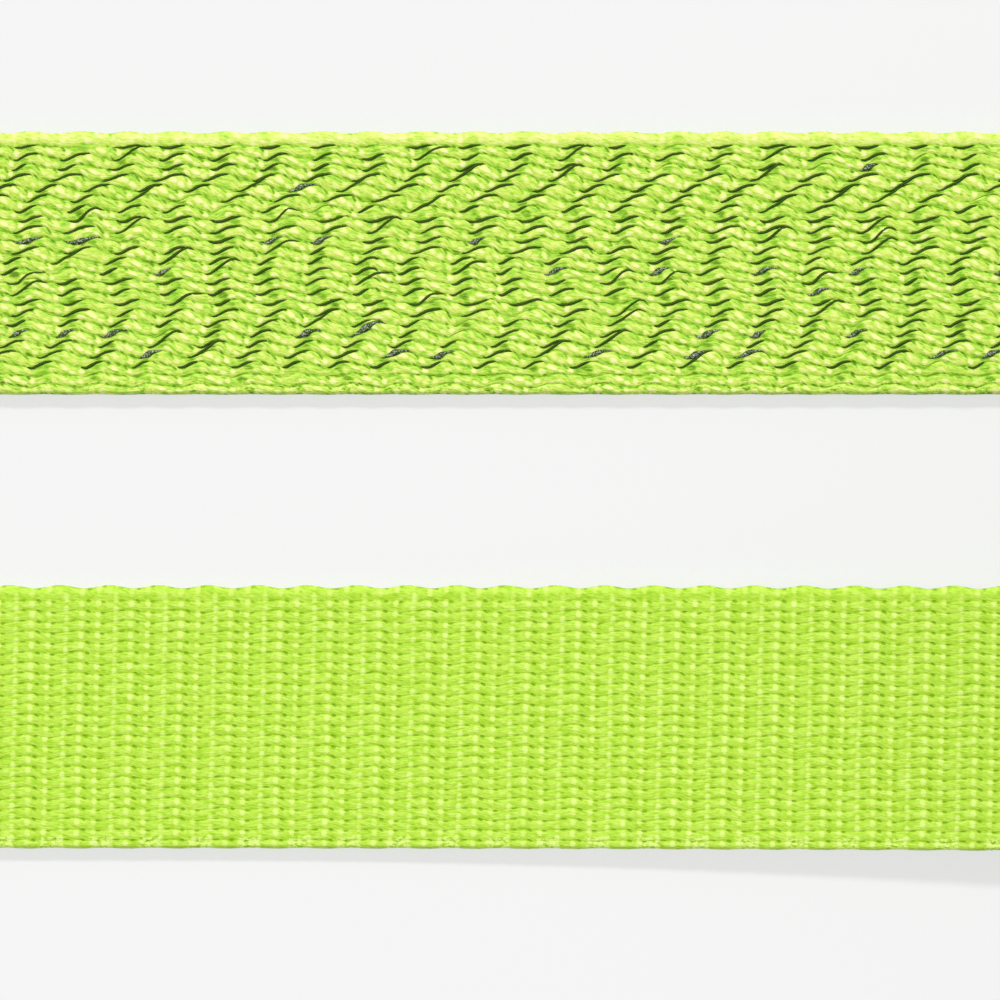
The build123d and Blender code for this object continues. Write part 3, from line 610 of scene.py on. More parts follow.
@dataclass(frozen=True)
class MouldedFinish:
    """Rubber or dipped vinyl: dark, softly mottled, with a fine skin."""

    name: str
    colour: Colour
    worn: Colour
    rough_low: float
    rough_high: float
    grain_depth: float
    coat: float = 0.0
    worn_share: float = 0.6
    bump_strength: float = 0.5

    def make(self, effects: Effects) -> Material:
        """Build the material from the shared handling marks.

        Args:
            effects: The shared node groups.

        Returns:
            The material.
        """
        material, nodes, shader = new_material(self.name)
        cloud, _, grain = handling_marks(nodes, effects)
        nodes.fill(shader, {
            "Base Color": nodes.mix(nodes.times(cloud, self.worn_share), self.colour, self.worn),
            "Roughness": nodes.span(cloud, 0.0, 1.0, self.rough_low, self.rough_high),
            "Normal": nodes.bump(grain, self.bump_strength, self.grain_depth), "Coat Weight": self.coat})
        return material


class Finishes:
    """Every material of the model, by what it covers."""

    def __init__(self) -> None:
        """Build the materials."""
        effects = Effects()
        self.reflective_face = WebbingFinish(
            "webbing_reflective_face", Face.REFLECTIVE,
            # Tones from painted shade in the valleys, through the lime yarn, to pale painted highlights on the
            # crests.
            ((0.0, srgb(98, 140, 0)), (0.2, srgb(138, 188, 22)), (0.36, srgb(160, 222, 58)),
             (0.52, srgb(202, 234, 82)), (0.74, srgb(228, 246, 122)), (1.0, srgb(248, 253, 166))),
            furrow_shade=0.10, furrow_shade_width=0.12, mottle=0.20, chance=0.7, calm=0.4, painted_rim_tone=0.18, knot=0.22,
            pinhole_shade=-0.06,
        ).make(effects)
        self.plain_face = WebbingFinish(
            "webbing_plain_face", Face.PLAIN,
            # Tones from painted shade in the pits, through the lime yarn, to pale painted highlights on the dots.
            ((0.0, srgb(135, 180, 0)), (0.22, srgb(161, 207, 14)), (0.40, srgb(178, 226, 50)),
             (0.55, srgb(195, 235, 72)), (0.78, srgb(211, 246, 102)), (1.0, srgb(228, 254, 136))),
            furrow_shade=0.07, furrow_shade_width=0.13, mottle=0.18, chance=0.28, calm=0.7, painted_rim_tone=-0.04, knot=0.50,
            pinhole_shade=-0.10,
        ).make(effects)
        self.film = FilmFinish().make()
        self.thread = ThreadFinish().make()
        self.plate = MetalFinish(
            "zinc_plate", (0.58, 0.59, 0.60), (0.48, 0.48, 0.47), 0.34, 0.48).make(effects)
        self.wire = MetalFinish(
            "drawn_wire", (0.62, 0.62, 0.62), (0.52, 0.52, 0.52), 0.20, 0.30, 1.4).make(effects)
        self.spring = MetalFinish(
            "spring_wire", (0.48, 0.48, 0.49), (0.40, 0.40, 0.40), 0.25, 0.35, 2.0).make(effects)
        self.wheel = MetalFinish(
            "wheel_steel", (0.55, 0.55, 0.54), (0.42, 0.41, 0.39), 0.28, 0.42, 1.2).make(effects)
        self.rubber = MouldedFinish(
            "grip_rubber", srgb(30, 30, 31), srgb(52, 52, 52), 0.55, 0.72, 0.05 * MM).make(effects)
        self.vinyl = MouldedFinish(
            "dipped_vinyl", srgb(24, 24, 25), srgb(36, 36, 37), 0.28, 0.42, 0.02 * MM, 0.3).make(effects)
        self.tie = MouldedFinish(
            "tie_rubber", srgb(34, 34, 35), srgb(56, 56, 56), 0.6, 0.75, 0.04 * MM).make(effects)


# ------------------------------------------------------------------------------------------ meshes
def mesh_piece(name: str, points: Array, quads: Array, corners_uv: Array | None = None,
               slots: Array | None = None, materials: Sequence[Material] = (),
               triangles: Array | None = None) -> Piece:
    """Make a mesh object from whole arrays.

    Args:
        name: Object name.
        points: Vertices, N by 3.
        quads: Vertex numbers of the four-sided faces, F by 4.
        corners_uv: UV of each corner, in face order.
        slots: Material slot of each face.
        materials: The object's materials.
        triangles: Vertex numbers of further three-sided faces.

    Returns:
        The object, at the origin.
    """
    mesh = bpy.data.meshes.new(name)
    triangles = np.zeros((0, 3), int) if triangles is None else triangles
    loops = np.concatenate([quads.ravel(), triangles.ravel()]).astype(np.int32)
    starts = np.concatenate([np.arange(len(quads)) * 4, len(quads) * 4 + np.arange(len(triangles)) * 3])
    mesh.vertices.add(len(points))
    mesh.vertices.foreach_set("co", points.astype(np.float32).ravel())
    mesh.loops.add(len(loops))
    mesh.loops.foreach_set("vertex_index", loops)
    mesh.polygons.add(len(starts))
    mesh.polygons.foreach_set("loop_start", starts.astype(np.int32))
    mesh.polygons.foreach_set("use_smooth", np.ones(len(starts), bool))
    if slots is not None:
        mesh.polygons.foreach_set("material_index", slots.astype(np.int32))
    if corners_uv is not None:
        layer = mesh.uv_layers.new(name=UV_NAME)
        layer.uv.foreach_set("vector", corners_uv.astype(np.float32).ravel())
    mesh.update(calc_edges=True)
    mesh.validate()
    piece = bpy.data.objects.new(name, mesh)
    bpy.context.scene.collection.objects.link(piece)
    for material in materials:
        mesh.materials.append(material)
    return piece


def corner_uvs(near: Array, far: Array, low: Array, high: Array) -> Array:
    """UVs of the four corners of each face of a grid, walked round it.

    Args:
        near: First coordinate at the face's start.
        far: First coordinate at its end.
        low: Second coordinate at its lower side.
        high: Second coordinate at its upper side.

    Returns:
        The faces' own shape by 4 by 2.
    """
    corners = ((near, low), (far, low), (far, high), (near, high))
    return np.stack([np.stack(np.broadcast_arrays(*corner), axis=-1) for corner in corners], axis=-2)


def unit(vectors: Array) -> Array:
    """Vectors over their own lengths, along the last axis."""
    return vectors / np.linalg.norm(vectors, axis=-1, keepdims=True)


# -------------------------------------------------------------------------------------------- weave
@dataclass(frozen=True)
class FaceShape:
    """How far the rows and the scalloped edge of one face wander, and how deep its yarns dive."""

    sway: float
    edge_wave: float
    furrow: float
    dip: float


FACE_SHAPES = {
    Face.REFLECTIVE: FaceShape(sway=0.28 * MM, edge_wave=0.10 * MM, furrow=0.12 * MM, dip=0.09 * MM),
    Face.PLAIN: FaceShape(sway=0.13 * MM, edge_wave=0.15 * MM, furrow=0.085 * MM, dip=0.03 * MM),
}


@dataclass(frozen=True)
class Weave:
    """The webbing's rows of yarn and how they wander, for one stretch of strap."""

    seed: int
    face: Face
    width: float = 25.4 * MM
    thickness: float = 1.8 * MM
    rows: int = 25
    row_pitch: float = 1.0 * MM
    shift: float = -0.34 * MM
    repeat: float = 4.78 * MM
    rise: float = 0.27
    scallop: float = 0.24
    stretch: float = 0.5
    push: float = 0.14
    sunk: float = 0.05 * MM
    crown_power: float = 2.4
    crown_root: float = 0.6
    lift_start: float = 0.06
    lift_skew: float = 1.1
    lift_root: float = 0.8
    edge_turn: float = 0.3
    lower_edge_share: float = 0.25
    edge_calm: float = 0.5
    plain_turn: float = 0.17
    plain_crest: float = 0.10
    plain_lag: float = -0.005
    lag: Point = (-0.07, 0.12)
    jump_chance: float = 0.42
    jumps: tuple[float, ...] = (-0.38, -0.32, -0.26, 0.3)
    drift_reach: Point = (0.03, 0.08)
    drift_weights: Point = (1.5, 0.8)
    plain_drift: Point = (0.002, 0.010)
    drift_lengths: Point = (55 * MM, 15 * MM)
    drift_spread: Point = (0.7, 1.4)

    @property
    def shape(self) -> FaceShape:
        """Sizes that differ between the two faces."""
        return FACE_SHAPES[self.face]

    @property
    def phases(self) -> Array:
        """Where each row starts in its repeat: neighbours keep step, apart from a jump now and then.

        Returns:
            Repeats, one value for each row.
        """
        if self.face is Face.PLAIN:
            return self.plain_lag * np.arange(self.rows)
        chance = np.random.default_rng(self.seed)
        step = chance.normal(*self.lag, self.rows)
        jump = chance.random(self.rows) < self.jump_chance
        jump[:4] = jump[-3:] = False
        return np.cumsum(np.where(jump, chance.choice(self.jumps, self.rows), step))

    @property
    def drifts(self) -> tuple[Array, Array, Array]:
        """Slow wandering of each row's phase by two sines.

        Returns:
            Reach in repeats, length and start of each sine, two by rows.
        """
        chance = np.random.default_rng(self.seed + 1)
        size = (2, self.rows)
        reach = chance.uniform(*self.drift_reach, size) * np.array(self.drift_weights)[:, None]
        if self.face is Face.PLAIN:
            reach = chance.uniform(*self.plain_drift, size)
        length = chance.uniform(*self.drift_spread, size) * np.array(self.drift_lengths)[:, None]
        return reach, length, chance.uniform(0, tau, size)

    def phase(self, row: Array, along: Array) -> Array:
        """Repeats counted along a row: distance over the repeat, plus the row's own start and slow drift.

        Args:
            row: Row numbers.
            along: Distances along the strap.

        Returns:
            The repeats.
        """
        reach, length, start = self.drifts
        drift = sum(reach[i][row] * np.sin(tau * along / length[i][row] + start[i][row]) for i in (0, 1))
        return along / self.repeat + self.phases[row] + drift

    def wave(self, phase: Array, gap: Array) -> Array:
        """Side-to-side place of a furrow: a steep half cosine up, then a slow half cosine down.

        The way down carries one and a half scallops.  The further its two rows are out of step, the longer
        the way up takes.  On the plain face it is one cosine.

        Args:
            phase: Repeats counted along the furrow.
            gap: How far its two rows are out of step, in repeats.

        Returns:
            The place, about -1 to 1.
        """
        place = phase % 1.0
        if self.face is Face.PLAIN:
            return -np.cos(tau * (place - self.plain_turn))
        rise = self.rise + self.stretch * np.abs(gap)
        up = -np.cos(pi * place / rise)
        share = (place - rise) / (1 - rise)
        down = np.cos(pi * share) + self.scallop * np.sin(3 * pi * share)
        return np.where(place < rise, up, down)

    def lift(self, phase: Array) -> Array:
        """How much of its full height a yarn has: a half sine over the repeat, skewed to rise late.

        On the plain face it is a cosine with three crests in a repeat.

        Args:
            phase: Repeats counted along the row.

        Returns:
            The share of the height, 0 to 1.
        """
        place = phase % 1.0
        if self.face is Face.PLAIN:
            return 0.5 + 0.5 * np.cos(3 * tau * (place - self.plain_crest))
        return np.sin(pi * ((place - self.lift_start) % 1.0) ** self.lift_skew) ** self.lift_root

    def furrow_line(self, line: Array, along: Array) -> Array:
        """Across-position of the furrow between two rows, or of the outer edge for the first and last line.

        The line's own place plus the wave of its two rows' mean phase, pushed away from the yarn that is up.
        The lines without film, near the edges, wander half as far.

        Args:
            line: Line numbers, 0 at the strap's lower edge.
            along: Distances along the strap.

        Returns:
            The positions.
        """
        shape = self.shape
        lower = np.clip(line - 1, 0, self.rows - 1)
        upper = np.clip(line, 0, self.rows - 1)
        low_phase, high_phase = self.phase(lower, along), self.phase(upper, along)
        place = (line - self.rows / 2) * self.row_pitch + self.shift
        wave = self.wave((low_phase + high_phase) / 2, high_phase - low_phase)
        push = (self.lift(low_phase) - self.lift(high_phase)) * self.push * self.row_pitch
        calm = np.where((line < 3) | (line > self.rows - 2), self.edge_calm, 1.0)
        inner = place + calm * shape.sway * wave + push
        ripple = shape.edge_wave * np.cos(tau * (high_phase - self.edge_turn))
        share = self.lower_edge_share
        outer = np.where(line == 0, share * ripple - self.width / 2 + share * shape.edge_wave,
                         ripple + self.width / 2 - shape.edge_wave)
        return np.where((line == 0) | (line == self.rows), outer, inner)

    def bumps(self, phase: Array, share: Array) -> Array:
        """Height of the cell's spots: each is a cosine bell over its own ellipse, wrapped round the cell.

        Args:
            phase: Repeats counted along the row.
            share: Share of the way across the row.

        Returns:
            The heights.
        """
        total = np.zeros(np.broadcast_shapes(phase.shape, share.shape))
        for spot in CELL_SPOTS[self.face]:
            off_across = (share - spot.across + 0.5) % 1.0 - 0.5
            off_along = (phase - spot.along + 0.5) % 1.0 - 0.5 + off_across * spot.lean
            distance = np.hypot(off_along / spot.length, off_across / spot.width)
            total += spot.height * (1 + np.cos(pi * np.minimum(distance, 1))) / 2
        return total

    def relief(self, along: Array, steps: int) -> tuple[Array, Array, Array, Array]:
        """Surface of one face: each row is a flattened half ellipse between its two furrow lines, with bumps.

        Args:
            along: Distances along the strap.
            steps: Faces across one row.

        Returns:
            Across-positions and heights above the strap's middle, columns by points; the row phases, columns
            by rows; and each point's share of its row.
        """
        lines = self.furrow_line(np.arange(self.rows + 1)[None, :], along[:, None])
        phase = self.phase(np.arange(self.rows)[None, :], along[:, None])
        share = (1 - np.cos(pi * np.arange(steps + 1) / steps)) / 2
        round_row = np.maximum(0, 1 - np.abs(2 * share - 1) ** self.crown_power) ** self.crown_root
        low, high = lines[:, :-1, None], lines[:, 1:, None]
        across = low + (high - low) * share
        top = self.thickness / 2 - self.sunk
        ridge = top - self.shape.dip * (1 - self.lift(phase))
        valley = np.full((len(along), self.rows + 1), top - self.shape.furrow)
        valley[:, 0] = valley[:, -1] = 0.0
        base = valley[:, :-1, None] + (valley[:, 1:, None] - valley[:, :-1, None]) * share
        bumps = self.bumps(phase[:, :, None], share)
        bumps[:, 0, 0] = bumps[:, -1, -1] = 0.0
        height = base + (ridge[:, :, None] - base) * round_row + bumps

        def joined(values: Array) -> Array:
            """The rows' points one after another, with the point that two rows share taken once."""
            return np.concatenate([values[:, :, :-1].reshape(len(along), -1), values[:, -1:, -1]], axis=1)

        return joined(across), joined(height), phase, share


@dataclass(frozen=True)
class StrapPath:
    """Middle line of a run of webbing in X and Z; the woven side is on the left of its direction."""

    x: Array
    z: Array
    lane: float

    @property
    def along(self) -> Array:
        """Distance from the start to each point."""
        return np.concatenate([[0.0], np.cumsum(np.hypot(np.diff(self.x), np.diff(self.z)))])

    @property
    def normals(self) -> tuple[Array, Array]:
        """Unit normals on the left of the direction.

        Returns:
            Their parts in X and in Z.
        """
        dx, dz = np.gradient(self.x, self.along), np.gradient(self.z, self.along)
        length = np.hypot(dx, dz)
        return -dz / length, dx / length

    def reversed(self) -> "StrapPath":
        """The same line walked the other way, so that its other side is on the left."""
        return StrapPath(self.x[::-1], self.z[::-1], self.lane)

    def respaced(self, spacing: Array) -> "StrapPath":
        """The same line through points at the given distances."""
        x, z = (np.interp(spacing, self.along, values) for values in (self.x, self.z))
        return StrapPath(x, z, self.lane)

    def place(self, along: Array, across: Array, height: Array) -> Array:
        """Points in space: the middle line's own point, moved along its normal and across its lane.

        Args:
            along: Distances along the line.
            across: Distances across the strap.
            height: Heights above the middle line.

        Returns:
            The points, with X, Y and Z last.
        """
        own = self.along
        normal_x, normal_z = self.normals
        x = np.interp(along, own, self.x) + height * np.interp(along, own, normal_x)
        z = np.interp(along, own, self.z) + height * np.interp(along, own, normal_z)
        return np.stack([x, self.lane + across, z], axis=-1)


def arc(centre: Point, radius: float, start: float, stop: float, count: int) -> tuple[Array, Array]:
    """Points on an arc, angles in radians: centre plus radius times cosine and sine."""
    angle = np.linspace(start, stop, count)
    return centre[0] + radius * np.cos(angle), centre[1] + radius * np.sin(angle)


def tangent_angle(centre: Point, radius: float, point: Point, side: int) -> float:
    """Angle on a circle where the straight line from an outside point touches it, on the chosen side."""
    dx, dz = point[0] - centre[0], point[1] - centre[1]
    return atan2(dz, dx) + side * acos(radius / sqrt(dx * dx + dz * dz))


def softened(path: StrapPath, reach: float = 0.8 * MM, spacing: float = 0.1 * MM) -> StrapPath:
    """Round a path's corners: even points, each the mean of its neighbours within the reach, ends kept.

    Args:
        path: The path.
        reach: How far the mean reaches to each side.
        spacing: Distance between the even points.

    Returns:
        The rounded path.
    """
    total = path.along[-1]
    even = path.respaced(np.linspace(0, total, int(total / spacing) + 1))
    pad = int(reach / spacing)
    window = 2 * pad + 1
    kernel = np.ones(window) / window

    def smooth(values: Array) -> Array:
        """Mean over the window; past each end the line goes on as its own half turn about that end.

        Args:
            values: One coordinate of the even points.

        Returns:
            Its means.
        """
        before = values[0] + (values[0] - values[1:pad + 1][::-1])
        after = values[-1] + (values[-1] - values[-pad - 1:-1][::-1])
        return np.convolve(np.concatenate([before, values, after]), kernel, mode="valid")

    return StrapPath(smooth(even.x), smooth(even.z), path.lane)


def even_columns(length: float, step: float) -> Array:
    """Distances from 0 to a length in equal steps no longer than the given one."""
    return np.linspace(0, length, max(2, int(np.ceil(length / step)) + 1))


@dataclass(frozen=True)
class Shell:
    """The arrays of one closed shell of webbing; its caps are the triangles that close its two cut ends."""

    points: Array
    quads: Array
    caps: Array
    quad_uv: Array
    cap_uv: Array
    on_back: Array


@dataclass
class WebbingRun:
    """One stretch of webbing along a path: a woven side, a simple back, rolled edges and two cut ends."""

    path: StrapPath
    weave: Weave
    columns: Array
    steps: int
    back_points: int = 11
    edge_round: float = 0.045

    def shell(self) -> Shell:
        """Carry the ring of one cross-section along the columns.

        The woven side comes from the weave's relief.  The back is flat, and near an edge it rises as the root
        of the distance from the edge.

        Returns:
            The shell.
        """
        along, rows = self.columns, self.weave.rows
        across, height, phase, share = self.weave.relief(along, self.steps)
        count, wide = across.shape
        front = self.path.place(along[:, None], across, height)
        fraction = (1 - np.cos(pi * np.linspace(0, 1, self.back_points + 2)[1:-1])) / 2
        low, high = across[:, :1], across[:, -1:]
        back_across = low + (high - low) * fraction
        rounding = np.sqrt(np.minimum(1.0, np.minimum(fraction, 1 - fraction) / self.edge_round))
        back_height = np.broadcast_to(-self.weave.thickness / 2 * rounding, back_across.shape)
        back = self.path.place(along[:, None], back_across, back_height)
        ring = np.concatenate([front, back[:, ::-1]], axis=1)
        size = wide + self.back_points
        points = np.concatenate([ring.reshape(-1, 3), ring[0].mean(0)[None], ring[-1].mean(0)[None]])
        start = np.arange(count - 1)[:, None] * size + np.arange(size)[None, :]
        after = np.roll(start, -1, axis=1)
        quads = np.stack([start, start + size, after + size, after], axis=2).reshape(-1, 4)
        row = np.minimum(np.arange(wide - 1) // self.steps, rows - 1)
        step = np.arange(wide - 1) - row * self.steps
        u = phase[:, row]
        front_uv = corner_uvs(u[:-1], u[1:], row + share[step], row + share[step + 1])
        back_v = np.concatenate([[rows], back_across[0, ::-1] / self.weave.row_pitch + rows / 2, [0.0]])
        turns = (along / self.weave.repeat)[:, None]
        back_uv = corner_uvs(turns[:-1], turns[1:], back_v[:-1], back_v[1:])
        order = np.arange(size)
        following = np.roll(order, -1)
        last = (count - 1) * size
        caps = np.concatenate([
            np.stack([order, following, np.full(size, count * size)], axis=1),
            np.stack([last + following, last + order, np.full(size, count * size + 1)], axis=1)])
        return Shell(points, quads, caps, np.concatenate([front_uv, back_uv], axis=1).reshape(-1, 2),
                     np.full((len(caps) * 3, 2), 0.5), np.tile(order >= wide - 1, count - 1))

    @property
    def length(self) -> float:
        """Length of the run."""
        return float(self.columns[-1] - self.columns[0])


def webbing_piece(name: str, runs: Sequence[WebbingRun], finishes: Finishes) -> Piece:
    """Join runs of webbing into one object.

    Args:
        name: Object name.
        runs: The runs, each a closed shell.
        finishes: The materials.

    Returns:
        The object; slot 0 is the reflective face and slot 1 the plain face.
    """
    shells = [run.shell() for run in runs]
    firsts = np.cumsum([0] + [len(shell.points) for shell in shells[:-1]])
    fronts = [run.weave.face.value for run in runs]
    return mesh_piece(
        name, np.concatenate([shell.points for shell in shells]),
        np.concatenate([shell.quads + first for shell, first in zip(shells, firsts)]),
        np.concatenate([shell.quad_uv for shell in shells] + [shell.cap_uv for shell in shells]),
        np.concatenate([np.where(shell.on_back, 1 - front, front) for shell, front in zip(shells, fronts)]
                       + [np.full(len(shell.caps), 1 - front) for shell, front in zip(shells, fronts)]),
        [finishes.reflective_face, finishes.plain_face],
        np.concatenate([shell.caps + first for shell, first in zip(shells, firsts)]))


@dataclass(frozen=True)
class FilmThreads:
    """The reflective film threads that show between the rows of a run of webbing.

    Along a few lines the film often turns its flat side up.  A thread's middle line lies `sink` under the
    flat level of the webbing, and its two ends dive deeper into it.
    """

    half_width: float = 0.114 * MM
    half_height: float = 0.04 * MM
    sink: float = 0.04 * MM
    dive: float = 0.19 * MM
    dive_root: float = 0.35
    flat_lines: tuple[int, ...] = (4, 6, 12, 15)
    flat_chances: Point = (0.42, 0.015)
    flat_swell: float = 2.6
    flat_middle: float = 0.45
    flat_spread: float = 0.16
    flat_rise: float = 0.03 * MM
    least_cover: float = 0.01 * MM
    tip: float = 0.004 * MM
    uneven: Point = (0.8, 1.2)
    head: Point = (0.02, 0.12)
    tail: Point = (0.25, 0.46)
    stretch: float = 0.5
    room: float = 1.4
    margin: float = 1 * MM
    shown: float = 0.94
    crossing: float = 0.10
    crossing_reach: float = 0.80
    crossing_start: float = 0.25
    crossing_span: float = 0.6
    steps: int = 11

    def sites(self, weave: Weave, length: float, chance: np.random.Generator) -> tuple[Array, ...]:
        """Find where threads show: at each steep rise of a furrow line.

        The more its two rows are out of step, the longer the thread.

        Args:
            weave: The rows of yarn.
            length: Length of the run.
            chance: Source of the random draws.

        Returns:
            Line number, distance where the thread starts, and length, for every thread.
        """
        turns = np.arange(-3, int(length / weave.repeat) + 4)
        grids = np.meshgrid(np.arange(3, weave.rows), turns, indexing="ij")
        line, turn = (grid.ravel() for grid in grids)
        begin = turn * weave.repeat
        for _ in range(4):
            low, high = weave.phase(line - 1, begin), weave.phase(line, begin)
            begin = begin - ((low + high) / 2 - turn) * weave.repeat
        gap = np.abs(high - low)
        head = chance.uniform(*self.head, len(line)) * weave.repeat
        tail = chance.uniform(*self.tail, len(line)) * weave.repeat
        reach = head + tail + self.stretch * gap * weave.repeat
        inside = (begin - head > self.margin) & (begin - head + self.room * reach < length - self.margin)
        keep = inside & (chance.random(len(line)) < self.shown)
        return line[keep], (begin - head)[keep], reach[keep]

    def build(self, name: str, run: WebbingRun, material: Material, seed: int) -> Piece:
        """Lay a flat thread along each site's furrow line.

        Each thread is a lens-shaped tube: four points round the line, its width a power of a sine along it.
        Some cross the row above near their far end, by a smooth step from one furrow line to the next.

        Args:
            name: Object name.
            run: The webbing under the threads.
            material: The film's material.
            seed: Start of the random draws.

        Returns:
            The object, with how flat each thread lies as a point attribute.
        """
        chance = np.random.default_rng(seed)
        weave = run.weave
        line, begin, reach = self.sites(weave, run.length, chance)
        count = len(line)
        place = np.linspace(0, 1, self.steps)[None, :]
        crossing = (chance.random(count) < self.crossing) & (line < weave.rows - 1)
        reach = np.where(crossing, np.maximum(reach, self.crossing_reach * weave.repeat), reach)
        along = begin[:, None] + reach[:, None] * place
        lines = np.broadcast_to(line[:, None], along.shape)
        across = weave.furrow_line(lines, along)
        above = weave.furrow_line(np.minimum(lines + 1, weave.rows - 1), along)
        share = np.clip((place - self.crossing_start) / self.crossing_span, 0, 1)
        step = share ** 2 * (3 - 2 * share)
        across = across + (above - across) * step * crossing[:, None]
        drift_along, drift_across = np.gradient(along, axis=1), np.gradient(across, axis=1)
        span = np.hypot(drift_along, drift_across)
        odds = np.where(np.isin(line, self.flat_lines), *self.flat_chances)
        wide = np.where(chance.random(count) < odds, self.flat_swell, 1.0)[:, None]
        arch = np.sin(pi * place)
        swell = 1 + (wide - 1) * np.exp(-((place - self.flat_middle) / self.flat_spread) ** 2)
        width = self.half_width * chance.uniform(*self.uneven, count)[:, None]
        half = width * arch ** 0.5 * swell + self.tip
        top = weave.thickness / 2
        lay = top - self.sink - self.dive * (1 - arch ** self.dive_root)
        lay = np.minimum(lay + (wide > 1) * self.flat_rise, top - self.least_cover)
        ring = [run.path.place(along - side * half * drift_across / span,
                               across + side * half * drift_along / span,
                               np.broadcast_to(lay + rise * self.half_height, along.shape))
                for side, rise in ((-1, 0.0), (0, 1.0), (1, 0.0), (0, -1.0))]
        points = np.stack(ring, axis=2).reshape(-1, 3)
        base = np.arange(count)[:, None, None] * self.steps * 4
        station = base + np.arange(self.steps - 1)[None, :, None] * 4
        start, after = station + np.arange(4), station + (np.arange(4) + 1) % 4
        quads = np.stack([start, after, after + 4, start + 4], axis=-1).reshape(-1, 4)
        near = base[:, 0] + np.array([[0, 3, 2, 1]])
        far = base[:, 0] + (self.steps - 1) * 4 + np.array([[0, 1, 2, 3]])
        piece = mesh_piece(name, points, np.concatenate([quads, near, far])[:, ::-1], materials=[material])
        flat = np.repeat(((wide - 1) / (self.flat_swell - 1) * np.ones_like(place)).ravel(), 4)
        attribute = piece.data.attributes.new(FLAT_NAME, "FLOAT", "POINT")
        attribute.data.foreach_set("value", flat.astype(np.float32))
        return piece


def tubes(centre: Array, side: Array, rise: Array, half_width: Array, half_height: Array,
          sides: int) -> tuple[Array, Array, Array, Array]:
    """Closed tubes along many paths: an ellipse carried along each, with a flat cap at both ends.

    Args:
        centre: Path points, tubes by stations by 3.
        side: Unit vectors across each tube, same shape.
        rise: Unit vectors up from each tube, same shape.
        half_width: Half width at each station, tubes by stations.
        half_height: Half height at each station.
        sides: Points round the ellipse.

    Returns:
        Points, quads, triangles and the corner UVs: share of the length, then share of the way round.
    """
    count, stations = half_width.shape
    angle = tau * np.arange(sides) / sides
    ring = (centre[:, :, None] + side[:, :, None] * (half_width[:, :, None] * np.cos(angle))[..., None]
            + rise[:, :, None] * (half_height[:, :, None] * np.sin(angle))[..., None])
    base = np.arange(count)[:, None, None] * stations * sides
    station = np.arange(stations - 1)[None, :, None] * sides
    number = np.arange(sides)[None, None, :]
    start, after = base + station + number, base + station + (number + 1) % sides
    quads = np.stack([start, after, after + sides, start + sides], axis=-1).reshape(-1, 4)
    u = np.broadcast_to(np.arange(stations - 1)[None, :, None] / (stations - 1), start.shape)
    v = np.broadcast_to(number / sides, start.shape)
    uv = corner_uvs(v, v + 1 / sides, u, u + 1 / (stations - 1))[..., ::-1].reshape(-1, 2)
    fan = np.arange(1, sides - 1)
    near = np.stack([np.zeros_like(fan), fan + 1, fan], axis=1)[None] + base
    far = np.stack([np.zeros_like(fan), fan, fan + 1], axis=1)[None] + base + (stations - 1) * sides
    triangles = np.concatenate([near.reshape(-1, 3), far.reshape(-1, 3)])
    uv = np.concatenate([uv, np.zeros((len(triangles) * 3, 2))])
    return ring.reshape(-1, 3), quads, triangles, uv


@dataclass(frozen=True)
class SewnBlock:
    """Rows of zigzag lock stitches through a doubled end."""

    rows: int = 4
    pitch: float = 5.0 * MM
    margin: float = 3.0 * MM
    half_width: float = 0.34 * MM
    half_height: float = 0.17 * MM
    wobble: float = 0.07 * MM
    sunk: float = 0.16 * MM
    arch: float = 0.20 * MM
    ends: Point = (0.03, 0.97)
    end_share: float = 0.45
    stations: int = 9
    sides: int = 8

    def stitches(self, path: StrapPath, middle: float, sewn: float, weave: Weave,
                 seed: int) -> tuple[Array, ...]:
        """Work out one block: each leg of a zigzag is one stitch, fat in its middle, its ends in the cloth.

        Args:
            path: Middle line of the layer that carries the stitches on its left side.
            middle: Distance along the path to the block's middle.
            sewn: Length of the sewn part.
            weave: The webbing's sizes.
            seed: Start of the small wobble from stitch to stitch.

        Returns:
            The arguments of tubes, but for the number of sides.
        """
        chance = np.random.default_rng(seed)
        row_step = (weave.width - 2 * self.margin) / self.rows
        steps = int((sewn - 2 * self.margin) / (self.pitch / 2))
        corner = np.arange(steps + 1)
        along = middle + (corner - steps / 2) * self.pitch / 2
        swing = (row_step / 2 - 2 * self.half_width) * np.where(corner % 2, -1, 1)
        across = (np.arange(self.rows)[:, None] - (self.rows - 1) / 2) * row_step + swing
        along = np.broadcast_to(along, across.shape) + chance.normal(0, self.wobble, across.shape)
        across = across + chance.normal(0, self.wobble, across.shape)
        share = np.linspace(*self.ends, self.stations)
        line, reach = (
            (ends[:, :-1, None] + (ends[:, 1:] - ends[:, :-1])[:, :, None] * share).reshape(-1, self.stations)
            for ends in (along, across))
        arch = np.sin(pi * np.broadcast_to(share, line.shape)) ** 0.5
        height = weave.thickness / 2 - self.sunk + self.arch * arch
        centre = path.place(line, reach, height)
        ahead = unit(np.gradient(centre, axis=1))
        above = unit(path.place(line, reach, height + 1 * MM) - centre)
        side = unit(np.cross(above, ahead))
        body = self.end_share + (1 - self.end_share) * arch
        return centre, side, np.cross(ahead, side), self.half_width * body, self.half_height * body

    def build(self, name: str, blocks: Sequence[tuple[Array, ...]], finishes: Finishes) -> Piece:
        """Join blocks of stitches into one object, which rides on the ratchet's body.

        Args:
            name: Object name.
            blocks: What stitches gives, for each block.
            finishes: The materials.

        Returns:
            The object.
        """
        whole = [np.concatenate(part) for part in zip(*blocks)]
        points, quads, triangles, uv = tubes(*whole, sides=self.sides)
        piece = mesh_piece(name, points, quads, uv, materials=[finishes.thread], triangles=triangles)
        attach(piece, "ratchet_base")
        return piece


